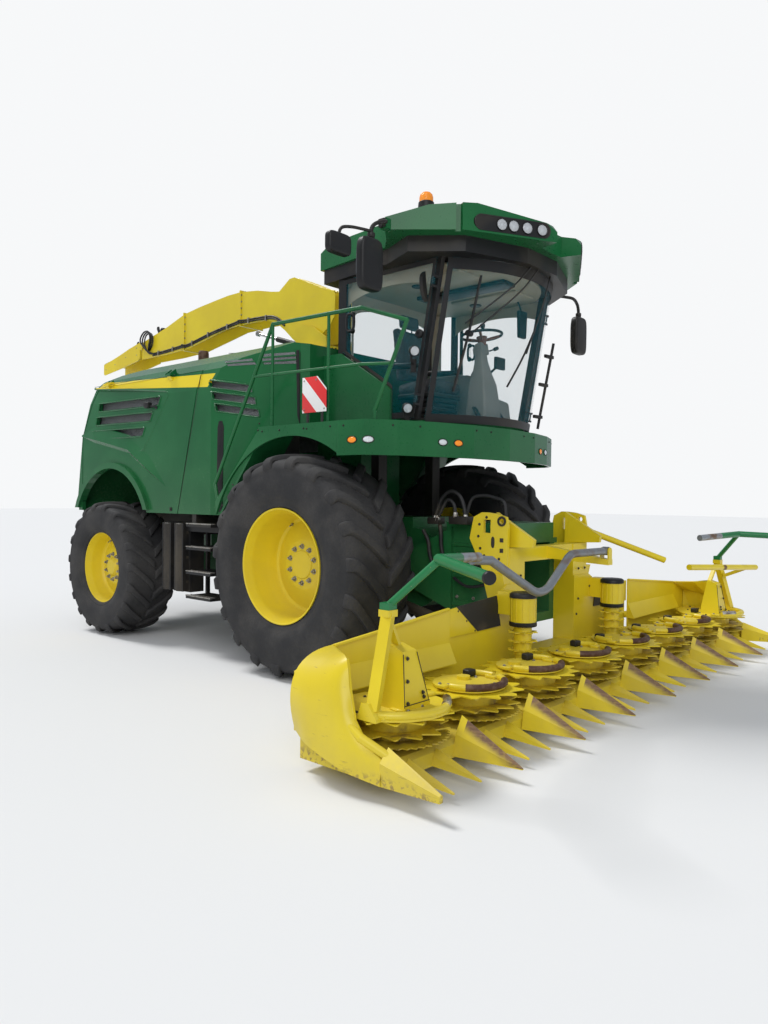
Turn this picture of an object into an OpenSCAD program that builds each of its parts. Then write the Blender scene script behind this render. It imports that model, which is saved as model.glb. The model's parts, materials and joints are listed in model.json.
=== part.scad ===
// Self-propelled forage harvester with an eight-rotor folding maize header.
// Millimetres, +Z up, the machine faces -Y. Places along Y are measured from
// the front axle inside each module, and placed() shifts them to the frame.

/* [Wheels] */
// Distance between the front and rear axles
wheelbase = 3200; // [3100:10:3300]
// Radius of the front tyre out to its lugs
front_tyre_r = 1000; // [960:5:1020]
// Width of the front tyre
front_tyre_w = 800; // [700:10:820]
// Middle of the front tyre from the centre line
front_tyre_x = 1250; // [1240:5:1290]
// Radius of the front rim's lip
front_rim_r = 515; // [480:5:530]
// Radius of the rear tyre out to its lugs
rear_tyre_r = 770; // [720:5:780]
// Width of the rear tyre
rear_tyre_w = 620; // [540:10:640]
// Middle of the rear tyre from the centre line
rear_tyre_x = 1310; // [1290:5:1340]
// Radius of the rear rim's lip
rear_rim_r = 415; // [390:5:425]
// Height of the tyre lugs
lug_h = 50; // [35:1:60]
// Number of lugs on each half of a tyre
lug_count = 18; // [14:1:22]

/* [Header] */
// Distance between two rows, and so between two rotors
row_pitch = 750; // [740:2:760]
// Place of the rotor axes ahead of the front axle
rotor_y = -2240; // [-2260:5:-2220]
// Radius of the rotors' feeding teeth
rotor_r = 355; // [330:1:360]
// Radius of the saw discs
saw_r = 330; // [300:1:340]
// Height of the saw discs above the ground
saw_z = 240; // [225:1:255]
// Height of the rotors' top plates
rotor_top_z = 385; // [370:1:400]
// Teeth of one saw disc
saw_teeth = 40; // [24:1:60]
// Fingers of one feeding ring
finger_count = 14; // [10:1:18]
// Length of the big row dividers
divider_len = 420; // [380:5:460]
// Height of the big dividers at their root
divider_h = 230; // [180:5:240]
// Half width of the big dividers at their root
divider_half = 88; // [70:1:95]
// Length of the small row points
point_len = 310; // [260:5:340]
// Height of the back wall's top edge at its middle
wall_top_z = 820; // [760:5:860]
// Outer half width of the header
header_half = 3080; // [3040:5:3120]
// Height of the wings' fold hinges
fold_z = 450; // [440:1:470]

/* [Body] */
// Half width of the engine hood
hood_half = 1400; // [1360:5:1430]
// Height of the hood's lower edge
hood_low_z = 1420; // [1400:5:1450]
// Height of the hood's ridge
hood_top_z = 3200; // [3120:5:3230]
// Thickness of the body panels
panel_t = 25; // [15:1:35]
// Half width over the fenders
fender_half = 1500; // [1480:5:1520]
// Room between the front tyres and the platform's floor
deck_clear = 250; // [230:5:270]
// Running gap between the fender arch and the tyre
arch_gap = 150; // [120:5:170]

/* [Cab] */
// Half width of the cab at its front posts
cab_half = 850; // [820:5:880]
// Place of the front posts' feet
cab_front_y = -930; // [-960:5:-900]
// Height of the glass above the deck
cab_glass_h = 1390; // [1350:5:1410]
// Thickness of the panes
glass_t = 8; // [5:0.5:10]
// Lean of the windscreen, in degrees
cab_lean = 10; // [8:0.5:11]
// Thickness of the roof shell at its middle
roof_h = 270; // [240:5:280]

/* [Spout] */
// Place of the spout's turning axis behind the front axle
turret_y = 1120; // [1100:5:1140]
// Width of the spout
spout_w = 320; // [280:5:340]
// Thickness of the spout's sheet
spout_t = 8; // [5:0.5:12]

/* [Hidden] */
$fn = 48;

// Reach of the machine ahead of and behind the front axle
front_reach = 3180;
rear_reach = 5720;
axle_shift = (front_reach - rear_reach) / 2;
deck_z = 2 * front_tyre_r + deck_clear;
// Pieces behind the ladder keep their distance from the rear axle
tail = wheelbase - 3200;
seat_gap = 0.3;
frame_low_z = 1180;
frame_x = 420;
frame_w = 120;
hub_r = 230;
front_rim_half = 350;
rear_rim_half = 235;
front_disc_x = 1130;
rear_disc_x = 1210;
kingpin_x = 900;
kingpin_r = 40;

green = "#1f6b35";
yellow = "#f2d21b";
black = "#1c1d1f";
steel = "#8d9094";
tyre_black = "#26272a";
glass = "#9fd6dd";

module placed() translate([0, axle_shift, 0]) children();

// A round bar between two points
module bar(a, b, d) {
    v = b - a;
    translate(a)
        rotate([0, acos(v[2] / norm(v)), atan2(v[1], v[0])])
            cylinder(h = norm(v), d = d);
}

// A square bar between two points, w wide and t thick
module beam(a, b, w, t) {
    v = b - a;
    translate(a)
        rotate([0, acos(v[2] / norm(v)), atan2(v[1], v[0])])
            translate([-t / 2, -w / 2, 0])
                cube([t, w, norm(v)]);
}

// A sheet of thickness t along a line of points, as a closed outline
function sheet_side(points, k) =
    let (n = len(points), a = points[max(0, k - 1)], b = points[min(n - 1, k + 1)], v = b - a)
        [-v[1], v[0]] / norm(v);
function sheet(points, t) = concat(points,
    [for (i = [len(points) - 1 : -1 : 0]) points[i] + t * sheet_side(points, i)]);

// Points on an arc about c, from angle a0 to a1 in n steps
function arc(c, r, a0, a1, n) = [for (i = [0 : n]) let (a = a0 + (a1 - a0) * i / n) c + r * [cos(a), sin(a)]];

// A piece between two outlines of three-dimensional points with as many points each
module between(a, b) {
    n = len(a);
    polyhedron(points = concat(a, b),
        faces = concat([[for (i = [0 : n - 1]) i]], [[for (i = [n - 1 : -1 : 0]) i + n]],
            [for (i = [0 : n - 1]) [i, i + n, (i + 1) % n]],
            [for (i = [0 : n - 1]) [(i + 1) % n, i + n, (i + 1) % n + n]]));
}

// A bent sheet through rows of points, made solid by a shift to its other face
module bent_sheet(rows, shift) {
    m = len(rows);
    n = len(rows[0]);
    front = [for (r = rows) each r];
    polyhedron(points = concat(front, [for (q = front) q + shift]),
        faces = concat(
            [for (i = [0 : m - 2], j = [0 : n - 2]) each
                let (a = i * n + j, b = a + 1, c = a + n, d = c + 1, k = m * n)
                    [[a, b, c], [b, d, c], [a + k, c + k, b + k], [b + k, c + k, d + k]]],
            [for (j = [0 : n - 2]) each let (k = m * n, e = (m - 1) * n + j)
                [[j, j + k, j + 1], [j + 1, j + k, j + 1 + k], [e, e + 1, e + k], [e + 1, e + 1 + k, e + k]]],
            [for (i = [0 : m - 2]) each let (k = m * n, a = i * n, b = a + n, c = a + n - 1, d = b + n - 1)
                [[a, b, a + k], [b, b + k, a + k], [c, c + k, d], [d, c + k, d + k]]]));
}

// A piece of ring tube about the vertical axis, from angle a0 to a1
module bow(r, d, a0, a1)
    rotate([0, 0, a0])
        rotate_extrude(angle = a1 - a0)
            translate([r, 0])
                circle(d = d, $fn = 24);

// A bent tube through a list of points, with slightly fuller bends
module tube(points, d) {
    for (i = [0 : len(points) - 2])
        bar(points[i], points[i + 1], d);
    for (i = [1 : 1 : len(points) - 2])
        translate(points[i])
            sphere(d = d * 1.03, $fn = 24);
}

// An outline in (y, z) carried along X
module along_x(x0, x1)
    translate([x0, 0, 0])
        rotate([90, 0, 90])
            linear_extrude(x1 - x0)
                children();

// An outline in (x, z) carried along Y
module along_y(y0, y1)
    translate([0, y1, 0])
        rotate([90, 0, 0])
            linear_extrude(y1 - y0)
                children();

// The same piece on the right (-1) and the left (1)
module side(s) scale_x(s) children();
module scale_x(s)
    if (s < 0) mirror([1, 0, 0]) children();
    else children();
module both_sides()
    for (s = [-1, 1])
        side(s) children();

function flip(points) = [for (i = [len(points) - 1 : -1 : 0]) [-points[i][0], points[i][1]]];

// Chassis

module frame() color(black) placed() {
    for (s = [-1, 1])
        translate([s * frame_x - frame_w / 2, -200, frame_low_z])
            cube([frame_w, 4260 + tail, hood_low_z - 1 - seat_gap - frame_low_z]);
    for (y = [1000, 2600, 4000 + tail])
        translate([-frame_x + frame_w / 2, y, frame_low_z + 40])
            cube([2 * frame_x - frame_w, 60, 140]);
    both_sides() {
        translate([frame_x + frame_w / 2, 3985 + tail, hood_low_z - 92])
            cube([hood_half - panel_t - frame_x - frame_w / 2 - 40, 70, 90]);
        translate([frame_x + frame_w / 2, 1560, hood_low_z - 92])
            cube([hood_half - 12 - frame_x - frame_w / 2, 70, 92 - seat_gap]);
        translate([frame_x - frame_w / 2, -150, hood_low_z - 100])
            cube([frame_w, 100, deck_z - 30 - seat_gap - hood_low_z + 100]);
    }
}

module front_axle() color(green) placed() {
    z = front_tyre_r;
    translate([-620, 0, z])
        rotate([0, 90, 0])
            cylinder(h = 1240, r = 150);
    both_sides() {
        translate([620, 0, z])
            rotate([0, 90, 0])
                cylinder(h = 180, r = 270);
        translate([800, 0, z])
            rotate([0, 90, 0])
                cylinder(h = front_disc_x - 800 - seat_gap, r = hub_r);
        translate([frame_x - 80, -80, z])
            cube([160, 220, frame_low_z - z]);
        clevis(lift_root[0], lift_root[1], 45, 50, 16);
        for (x = [lift_cyl_x - 41, lift_cyl_x + 25])
            along_x(x, x + 16)
                polygon([[-225, 700], [-135, 700], [-60, z - 100], [-140, z - 100]]);
    }
}

module rear_axle() color(green) placed() translate([0, wheelbase, 0]) {
    z = rear_tyre_r;
    difference() {
        union() {
            along_y(-100, 100)
                polygon([[-860, z - 70], [-300, z - 150], [300, z - 150], [860, z - 70],
                         [860, z + 70], [300, z + 110], [-300, z + 110], [-860, z + 70]]);
            for (s = [-1, 1])
                translate([s * kingpin_x, 0, z - 90])
                    cylinder(h = 180, r = 85);
        }
        for (s = [-1, 1])
            translate([s * kingpin_x, 0, z - 120])
                cylinder(h = 240, r = kingpin_r + 0.1);
    }
    translate([-110, -120, z + 110])
        cube([220, 240, frame_low_z + 40 - z - 110]);
    translate([-frame_x + frame_w / 2, -120, frame_low_z + 40])
        cube([2 * frame_x - frame_w, 240, 120]);
}

module chopper_housing() color(green) placed() {
    difference() {
        union() {
            translate([-350, -480, 950])
                rotate([0, 90, 0])
                    cylinder(h = 700, r = 380);
            translate([-350, -480, 1100])
                cube([700, 280, 330]);
            translate([-frame_x + frame_w / 2, -240, frame_low_z])
                cube([2 * frame_x - frame_w, 600, 240]);
            translate([-300, 260, 1300])
                cube([600, 640, 900]);
        }
        translate([-500, 0, front_tyre_r])
            rotate([0, 90, 0])
                cylinder(h = 1000, r = 160);
    }
    both_sides()
        translate([350, -480, 950])
            rotate([0, 90, 0])
                cylinder(h = 100, r = 60);
}

module engine() color(steel) placed()
    translate([-frame_x, 2000, hood_low_z - 1])
        cube([2 * frame_x, 1400, 1050]);

// Bodywork

function hood_section(w) = [
    [hood_half - w, hood_low_z - 1], [hood_half - w, 2700], [hood_half - 35 - w, 2890],
    [hood_half - 110 - w, 2975 - w], [1100 - w, hood_top_z - 110 - w], [700, hood_top_z - 30 - w],
    [0, hood_top_z - w]];

module hood_across(w, y0, y1)
    along_y(y0, y1)
        polygon(concat(hood_section(w), flip(hood_section(w))));

module hood_side_view(w)
    polygon(concat([[1300, hood_low_z - 1]],
        [for (p = [[4040, hood_low_z - 1], [4075, 1560], [3960, 2310], [3640, 2960]]) [p[0] + tail - w, p[1]]],
        [[3450 + tail - w, 3050 - w], [2700, 3130 - w], [1900, hood_top_z - w], [1300, hood_top_z - w]]));

// The joint between the cowl and the hood, a line that leans in the side view
module behind_joint(gap)
    along_x(-2000, 2000)
        polygon([[1480 + gap, 3400], [1480 + gap, 2850], [1880 + gap, hood_low_z - 20],
                 [4500, hood_low_z - 20], [4500, 3400]]);

module hood_panel_zone(gap)
    along_x(hood_half - panel_t - 20 - gap, hood_half + 50)
        polygon([[1500 - 2 * gap, 2890 + gap], [1897 - 2 * gap, hood_low_z - 30],
                 [3945 + tail + 2 * gap, hood_low_z - 30], [3945 + tail + 2 * gap, 2310],
                 [3600 + tail + 2 * gap, 2890 + gap]]);

// Hinges along the side panel's upper edge
panel_hinge_x = hood_half + 10;
panel_hinge_z = 2900;
panel_hinge_y = [2050, 3350];

module at_panel_hinges()
    for (y = panel_hinge_y)
        translate([panel_hinge_x, y, panel_hinge_z])
            rotate([90, 0, 0])
                children();

module hood() color(green) placed() {
    both_sides()
        at_panel_hinges() {
            for (z = [-51, 33])
                translate([0, 0, z])
                    linear_extrude(18)
                        polygon([[-75, 12], [-55, 65], [12, 14], [12, -10], [-8, -10]]);
            translate([0, 0, -51])
                cylinder(h = 102, r = hinge_pin_r);
        }
    difference() {
        intersection() {
            hood_across(0, 1300, 5000);
            along_x(-hood_half, hood_half)
                hood_side_view(0);
            behind_joint(4);
        }
        intersection() {
            hood_across(panel_t + 20, 1200, 5000);
            along_x(-hood_half, hood_half)
                difference() {
                    hood_side_view(panel_t);
                }
        }
        translate([-2000, 1200, hood_low_z - 200])
            cube([4000, 2740 + tail, 201]);
        both_sides()
            hood_panel_zone(7);
    }
}

module wheel_arch(r)
    translate([wheelbase + 50, hood_low_z - 330])
        circle(r = r);

// Three grille slots in the side panel, as rows [rear y, front y, low z, high z]
slots = [[3540, 2200, 2600, 2700], [3600, 2360, 2440, 2540], [3660, 2520, 2280, 2380]];

module hood_panel() {
    at_panel_hinges()
        difference() {
            union() {
                translate([0, 0, -31])
                    cylinder(h = 62, r = 12);
                translate([-50, -60, -31])
                    linear_extrude(62)
                        polygon([[0, 0], [22, 0], [62, 60], [50, 68], [0, 46]]);
            }
            translate([0, 0, -40])
                cylinder(h = 80, r = hinge_pin_r + 0.05);
        }
    difference() {
        intersection() {
            hood_across(0, 1300, 5000);
            hood_panel_zone(0);
        }
        along_x(0, 2000) {
            wheel_arch(830);
            for (r = slots)
                polygon([[r[0], r[3]], [r[0] + 25, r[2]], [r[1] + 60, r[2] - 15], [r[1], r[3] - 15]]);
        }
    }
    difference() {
        along_x(hood_half, hood_half + 40)
            difference() {
                wheel_arch(900);
                wheel_arch(830);
                translate([0, -10000 + hood_low_z + 30])
                    square([10000, 10000]);
            }
    }
}
module hood_panel_right() color(green) placed() side(-1) hood_panel();
module hood_panel_left() color(green) placed() side(1) hood_panel();

function cowl_plan(w) = [[hood_half - w, 1900], [hood_half - w, 1300], [1100 - w, 300],
                         [1100 - w, 170 + w], [0, 170 + w]];

module cowl_volume(w)
    intersection() {
        translate([0, 0, 1000])
            linear_extrude(2500)
                polygon(concat(cowl_plan(w), flip(cowl_plan(w))));
        along_x(-2000, 2000)
            polygon([[1900, hood_top_z - w], [1200, hood_top_z - w], [800, hood_top_z - 40 - w],
                     [100, 3030 - w], [100, deck_z + 50], [430, deck_z + 50], [1080, 1420],
                     [1080, hood_low_z], [1900, hood_low_z]]);
        hood_across(w, 100, 2000);
    }

// Three slots in the slanted side: rear y, front y, and the top edge's height at each
cowl_slots = [[1340, 830, 2780, 2700], [1300, 790, 2660, 2580], [1260, 750, 2540, 2460]];

module cowl() color(green) placed() {
    // The fixed neck that the spout's turntable turns on
    translate([0, turret_y, hood_top_z - 130])
        difference() {
            cylinder(h = 165, r = neck_r - 0.05);
            translate([0, 0, -1])
                cylinder(h = 200, r = neck_r - 16);
        }
    cowl_shell();
}

module cowl_shell()
    difference() {
        cowl_volume(0);
        difference() {
            cowl_volume(panel_t);
            translate([-2000, 0, 1000])
                cube([0.001, 0.001, 0.001]);
        }
        behind_joint(0);
        translate([-frame_x - 300, 900, 1300])
            cube([2 * frame_x + 600, 1200, 160]);
        translate([0, turret_y, 3000])
            cylinder(h = 400, r = neck_r - 20);
        translate([-310, 100, 1300])
            cube([620, 900, 1000]);
        along_x(0, 2000)
            for (r = cowl_slots)
                polygon([[r[0], r[2]], [r[0] - 20, r[2] - 80], [r[1] - 15, r[3] - 80], [r[1], r[3]]]);
        mirror([1, 0, 0])
            along_x(0, 2000)
                for (r = cowl_slots)
                    polygon([[r[0], r[2]], [r[0] - 20, r[2] - 80], [r[1] - 15, r[3] - 80], [r[1], r[3]]]);
    }

deck_outline = [[1475, 430], [1475, -620], [1440, -860], [1230, -1020], [900, -1160],
                [500, -1260], [0, -1300]];
skirt_outline = [[1500, 430], [1500, -620], [1465, -880], [1245, -1045], [905, -1188],
                 [505, -1288], [0, -1328]];

module platform() color(green) placed() {
    translate([0, 0, deck_z - 30])
        linear_extrude(30)
            difference() {
                polygon(concat(skirt_outline, flip(skirt_outline)));
                translate([-930, 200])
                    square([1860, 400]);
            }
    translate([0, 0, deck_z - 290])
        linear_extrude(260)
            difference() {
                polygon(concat(skirt_outline, flip(skirt_outline)));
                polygon(concat(deck_outline, flip(deck_outline)));
                translate([-2000, -600])
                    square([4000, 1200]);
            }
    both_sides() {
        along_x(fender_half - panel_t, fender_half)
            difference() {
                polygon([[1060, 1380], [1080, 1560], [430, deck_z - 30], [-599, deck_z - 30],
                         [-599, 1960], [0, 1960], [700, 1380]]);
                translate([0, front_tyre_r])
                    circle(r = front_tyre_r + arch_gap);
            }
        along_x(1100 + seat_gap, fender_half - panel_t)
            polygon([[395, deck_z - 30], [1045, 1440], [1021, 1430], [371, deck_z - 40]]);
    }
}

module side_steps() color(black) placed() both_sides() {
    translate([1150, 1760 + tail, 590])
        cube([170, 450, 735]);
    for (y = [1790 + tail, 2020 + tail])
        translate([1320, y, 600])
            cube([70, 165, 720]);
    for (z = [560, 810, 1060, 1295])
        translate([1180, 1180, z])
            cube([300, 420, 30]);
    for (y = [1150, 1600])
        translate([1180, y, 540])
            cube([40, 30, 700]);
    translate([1180, 1200, hood_low_z - 184])
        cube([160, 600, 90]);
    translate([frame_x + frame_w / 2, 1900 + tail, 1190])
        cube([1150 - frame_x - frame_w / 2, 120, 100]);
}

rail_d = 34;

module ladder_rail()
    tube([[1450, 1085, 1500], [1450, 1150, 1730], [1450, 290, 3180], [1450, 290, deck_z]], rail_d);

module handrails() color(green) placed() {
    side(1)
        ladder_rail();
    side(-1) {
        tube([[1450, 1085, 1500], [1450, 1150, 1730], [1450, 290, 3180], [1450, -820, 3160],
              [1380, -1250, 3010], [1340, -880, 2330], [1340, -880, deck_z]], rail_d);
        tube([[1450, 560, 2730], [1450, -820, 2700], [1378, -1075, 2690]], rail_d * 0.8);
        for (y = [-440, 290])
            tube([[1450, y, 3165], [1450, y, deck_z]], rail_d * 0.8);
    }
}

// Cab

cab_back_y = 150;
cab_rear_half = 680;
cab_top_z = deck_z + cab_glass_h;
lean_y = cab_glass_h * tan(cab_lean);
screen_r = 1140;
screen_sag = 380;

module cab_base() color(green) placed() {
    floor_t = 40;
    translate([0, 0, deck_z])
        linear_extrude(floor_t)
            polygon([[-cab_rear_half, cab_back_y], [-905, -60], [-905, -700], [-cab_half, cab_front_y + 20],
                     [-420, -1210], [0, -1250], [420, -1210],
                     [cab_half, cab_front_y + 20], [905, -700], [905, -60], [cab_rear_half, cab_back_y]]);
    translate([-cab_rear_half + 30, cab_back_y - 30, deck_z + floor_t])
        cube([2 * cab_rear_half - 60, 30, 660]);
    both_sides()
        along_x(905, 930)
            polygon([[-60, 2950], [-650, 2590], [-680, 2560], [-680, deck_z], [165, deck_z], [165, 2950]]);
}

// The door hinges' axis leans back along the front post. Places of the hinges along it
hinge_places = [160, 1150];
hinge_pin_r = 7;

module at_hinges()
    translate([930, -945, 2300])
        rotate([10, 0, 0])
            for (t = hinge_places)
                translate([0, 0, t])
                    children();

module hinge_ears()
    for (z = [-50, 31])
        translate([0, 0, z]) {
            translate([-30, -14, 0])
                cube([44, 16, 19]);
            translate([-72, -14, 0])
                cube([42, 54, 19]);
        }

module cab_frame() color(black) placed() {
    post = 70;
    both_sides() {
        at_hinges() {
            hinge_ears();
            translate([0, 0, -50])
                cylinder(h = 100, r = hinge_pin_r);
        }
        hull() {
            translate([cab_half - 30, cab_front_y - 10, deck_z + 40])
                cube([50, post, 1]);
            translate([cab_half - 30, cab_front_y - 10 - 250, cab_top_z - 1])
                cube([50, post, 1]);
        }
        translate([850, -60, 2952])
            cube([50, 60, cab_top_z - 2952]);
        translate([cab_rear_half - 50, cab_back_y - 50, 2952])
            cube([50, 50, cab_top_z - 2952]);
    }
    difference() {
        translate([0, 0, cab_top_z])
            linear_extrude(130)
                polygon([[-900, 200], [-1000, -700], [-1150, -1050], [-850, -1420], [-250, -1640],
                         [250, -1640], [850, -1420], [1150, -1050], [1000, -700], [900, 200]]);
        translate([0, 0, cab_top_z - 1])
            linear_extrude(91)
                polygon([[-620, 60], [-780, -300], [-780, -1100], [-500, -1300], [500, -1300],
                         [780, -1100], [780, -300], [620, 60]]);
    }
}

roof_low_z = cab_top_z + 130;
roof_plan = [[920, 230], [1040, -700], [1200, -860], [1380, -1000], [1010, -1440], [985, -1400],
             [950, -1440], [975, -1480], [210, -1900], [165, -1730], [0, -1720]];

// A flat oval with round ends, w wide and h high
module oval(w, h) {
    for (s = [-1, 1])
        translate([s * (w - h) / 2, 0])
            circle(d = h);
    square([w - h, h], center = true);
}

lamp_sink = 45;

// Work lamps along a roof pod, by their place between its inner and outer end
lamp_places = [0.17, 0.37, 0.61, 0.81];
pod_inner = [210, -1900];
pod_outer = [975, -1480];
pod_turn = atan2(pod_outer[0] - pod_inner[0], pod_outer[1] - pod_inner[1]);
lamp_z = roof_low_z + 82;
beacon_at = [-950, -1080];

module at_lamps() both_sides()
    for (t = lamp_places)
        translate([pod_inner[0] + t * (pod_outer[0] - pod_inner[0]),
                   pod_inner[1] + t * (pod_outer[1] - pod_inner[1]), lamp_z])
            rotate([90, 0, 90 - pod_turn])
                children();

module cab_roof() color(green) placed() {
    difference() {
        roof_shell();
        at_lamps()
            translate([0, 0, -lamp_sink])
                linear_extrude(lamp_sink + 100)
                    oval(140, 108);
    }
    translate([beacon_at[0], beacon_at[1], roof_low_z + 150])
        cylinder(h = 85, r = 78);
    both_sides()
        translate([1300, -1040, roof_low_z])
            cube([102, 70, 80]);
}

module roof_shell()
    intersection() {
        translate([0, 0, roof_low_z])
            linear_extrude(roof_h + 50)
                polygon(concat(roof_plan, flip(roof_plan)));
        along_y(-2000, 400)
            polygon([[-1400, roof_low_z], [-1400, roof_low_z + 90], [-1150, roof_low_z + 200],
                     [-600, roof_low_z + 255], [0, roof_low_z + roof_h], [600, roof_low_z + 255],
                     [1150, roof_low_z + 200], [1400, roof_low_z + 90], [1400, roof_low_z]]);
        along_x(-1500, 1500)
            polygon([[260, roof_low_z], [260, roof_low_z + 150], [0, roof_low_z + 260],
                     [-900, roof_low_z + roof_h], [-1500, roof_low_z + 240], [-1850, roof_low_z + 150],
                     [-1920, roof_low_z + 60], [-1900, roof_low_z]]);
    }

module lamps() color("#ffb060") placed() {
    at_lamps()
        translate([0, 0, -lamp_sink + seat_gap])
            cylinder(h = 22, r = 44);
    translate([beacon_at[0], beacon_at[1], roof_low_z + 235 + seat_gap]) {
        rotate_extrude()
            polygon(concat([[0, 0], [70, 0], [70, 56], [62, 62]], arc([10, 124], 50, 0, 90, 6), [[0, 174]]));
    }
}

module windscreen_shell(r, a)
    intersection() {
        difference() {
            circle(r = r, $fn = 96);
            circle(r = r - glass_t, $fn = 96);
        }
        polygon([[0, 0], [-r * 2 * sin(a), -r * 2 * cos(a)], [0, -r * 4], [r * 2 * sin(a), -r * 2 * cos(a)]]);
    }

module cab_glass() color(glass, 0.4) placed() {
    intersection() {
        translate([0, cab_front_y - screen_sag + screen_r, deck_z])
            rotate([cab_lean, 0, 0])
                translate([0, 0, -300])
                    linear_extrude(2200)
                        windscreen_shell(screen_r, 46);
        translate([-2000, -2500, deck_z + 40.3])
            cube([4000, 2400, cab_glass_h - 40.6]);
    }
    translate([-cab_rear_half + 55, cab_back_y - 30, 2952])
        cube([2 * cab_rear_half - 110, glass_t, cab_top_z - 2952 - seat_gap]);
}

module door() {
    along_x(cab_half + 55, cab_half + 55 + glass_t)
        polygon([[-70, 2960], [-70, cab_top_z - 10], [cab_front_y - 245, cab_top_z - 10],
                 [cab_front_y - 5, deck_z + 50], [-690, deck_z + 50], [-690, 2565], [-655, 2600]]);
    translate([cab_half + 55 + glass_t, -200, 3150])
        cube([40, 40, 160]);
    at_hinges()
        difference() {
            union() {
                translate([0, 0, -30])
                    cylinder(h = 60, r = 13);
                translate([-19, -9, -26])
                    cube([15, 69, 52]);
            }
            translate([0, 0, -40])
                cylinder(h = 80, r = hinge_pin_r + 0.05);
        }
}
module door_right() color(glass, 0.4) placed() side(-1) door();
module door_left() color(glass, 0.4) placed() side(1) door();

module seat() color("#5a5750") placed() {
    translate([-130, -520, deck_z + 40])
        cube([260, 360, 330]);
    translate([-260, -640, deck_z + 370])
        cube([520, 520, 130]);
    translate([-240, -130, deck_z + 500])
        rotate([-8, 0, 0])
            translate([0, -60, 0])
                cube([480, 120, 640]);
}

module controls() color("#2c2b29") placed() {
    translate([-70, -1020, deck_z + 40])
        cube([140, 140, 700]);
    bar([0, -960, deck_z + 740], [0, -900, 3110], 60);
    translate([0, -890, 3130])
        rotate([20, 0, 0])
            rotate_extrude()
                translate([190, 0])
                    circle(r = 16, $fn = 24);
    translate([0, -890, 3130])
        rotate([20, 0, 0])
            for (a = [0, 120, 240])
                rotate([0, 90, a])
                    cylinder(h = 185, r = 12);
    translate([300, -700, deck_z + 40])
        cube([240, 640, 560]);
}

// Place of the tow pin
hitch_y = 4480;

// A plate outline with rounded corners
module rounded(w, h, r) {
    square([w - 2 * r, h], center = true);
    square([w, h - 2 * r], center = true);
    for (x = [r - w / 2, w / 2 - r], y = [r - h / 2, h / 2 - r])
        translate([x, y])
            circle(r = r, $fn = 32);
}

module mirror_head(x, y, z, w, h, t)
    translate([x, y + t / 2, z])
        rotate([90, 0, 0])
            linear_extrude(t)
                rounded(w, h, 60);

module mirrors() color(black) placed() {
    both_sides() {
        translate([1402 + seat_gap, -1038, roof_low_z + 4])
            cube([30, 66, 72]);
        tube([[1424, -1012, roof_low_z + 42], [1510, -1150, roof_low_z + 55],
              [1650, -1115, roof_low_z + 20], [1660, -1115, 3600]], 36);
        mirror_head(1660, -1105, 3420, 230, 440, 100);
    }
    side(-1) {
        tube([[1655, -1115, roof_low_z + 10], [1800, -1110, roof_low_z - 20],
              [1900, -1110, 3660]], 28);
        mirror_head(1900, -1100, 3580, 180, 230, 80);
    }
}

module ballast() color(black) placed() translate([0, tail, 0]) {
    translate([-1000, 4090, 1130])
        cube([2000, 320, 290]);
    translate([-frame_x, 4060, frame_low_z])
        cube([2 * frame_x, 30, 200]);
    // Tow clevis
    difference() {
        translate([-90, 4150, 980])
            cube([180, 390, 150]);
        translate([-100, 4300, 1025])
            cube([200, 300, 60]);
        translate([0, hitch_y, 900])
            cylinder(h = 300, r = 16);
    }
}

// Wheels, drawn on the X axis with the outer side towards +X

function tyre_profile(r, w, rim) = [
    [-w * 0.30, rim - 60], [-w * 0.40, rim - 60], [-w * 0.47, rim + (r - rim) * 0.30],
    [-w * 0.495, rim + (r - rim) * 0.52], [-w * 0.48, rim + (r - rim) * 0.72],
    [-w * 0.42, r - lug_h - 45], [-w * 0.25, r - lug_h - 14], [0, r - lug_h],
    [w * 0.25, r - lug_h - 14], [w * 0.42, r - lug_h - 45],
    [w * 0.48, rim + (r - rim) * 0.72], [w * 0.495, rim + (r - rim) * 0.52],
    [w * 0.47, rim + (r - rim) * 0.30], [w * 0.40, rim - 60], [w * 0.30, rim - 60]];

// The rim's outside, which the tyre's beads seat on, as [radius, along]
function rim_seat(lip, half, g, far) = [
    [0, -far], [lip + g, -far], [lip + g, -half + 14], [lip - 10 + g, -half + 40],
    [lip - 34 + g, -half + 70], [lip - 34 + g, half - 70], [lip - 10 + g, half - 40],
    [lip + g, half - 14], [lip + g, far], [0, far]];

module tyre(r, w, rim, half) {
    lug_w = 2 * PI * r / lug_count * 0.26;
    rotate([0, 90, 0])
        rotate_extrude($fn = 72)
            difference() {
                polygon([for (p = tyre_profile(r, w, rim)) [p[1], p[0]]]);
                polygon(rim_seat(rim, half, seat_gap, w));
            }
    for (i = [0 : lug_count - 1])
        for (s = [-1, 1])
            rotate([(i + (s > 0 ? 0.5 : 0)) * 360 / lug_count, 0, 0])
                translate([s * w * 0.02, 0, 0])
                    rotate([0, 0, s * 42])
                        scale_x(s)
                            along_lug(r, w, lug_w);
}

// A lug runs at 42 degrees to the tyre's middle. Radius at distance q along it, on a crown of radius r
function on_crown(r, q) = sqrt(r * r - pow(q * sin(42), 2));

// One lug as a bar: points [along, radius] follow the crown down to the rounded shoulder
module along_lug(r, w, lug_w) {
    run = w * 0.455 / cos(42);
    top = [[0, r - 3], [0.4, r - 6], [0.72, r - 14], [0.9, r - 34], [1, r - 78]];
    translate([0, lug_w / 2, 0])
        rotate([90, 0, 0])
            linear_extrude(lug_w)
                polygon(concat([[0, r - lug_h - 30]],
                               [for (q = top) [q[0] * run, on_crown(q[1], q[0] * run)]],
                               [[run * 0.99, on_crown(r - lug_h - 75, run)],
                                [run * 0.7, on_crown(r - lug_h - 60, run * 0.7)]]));
}

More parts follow.
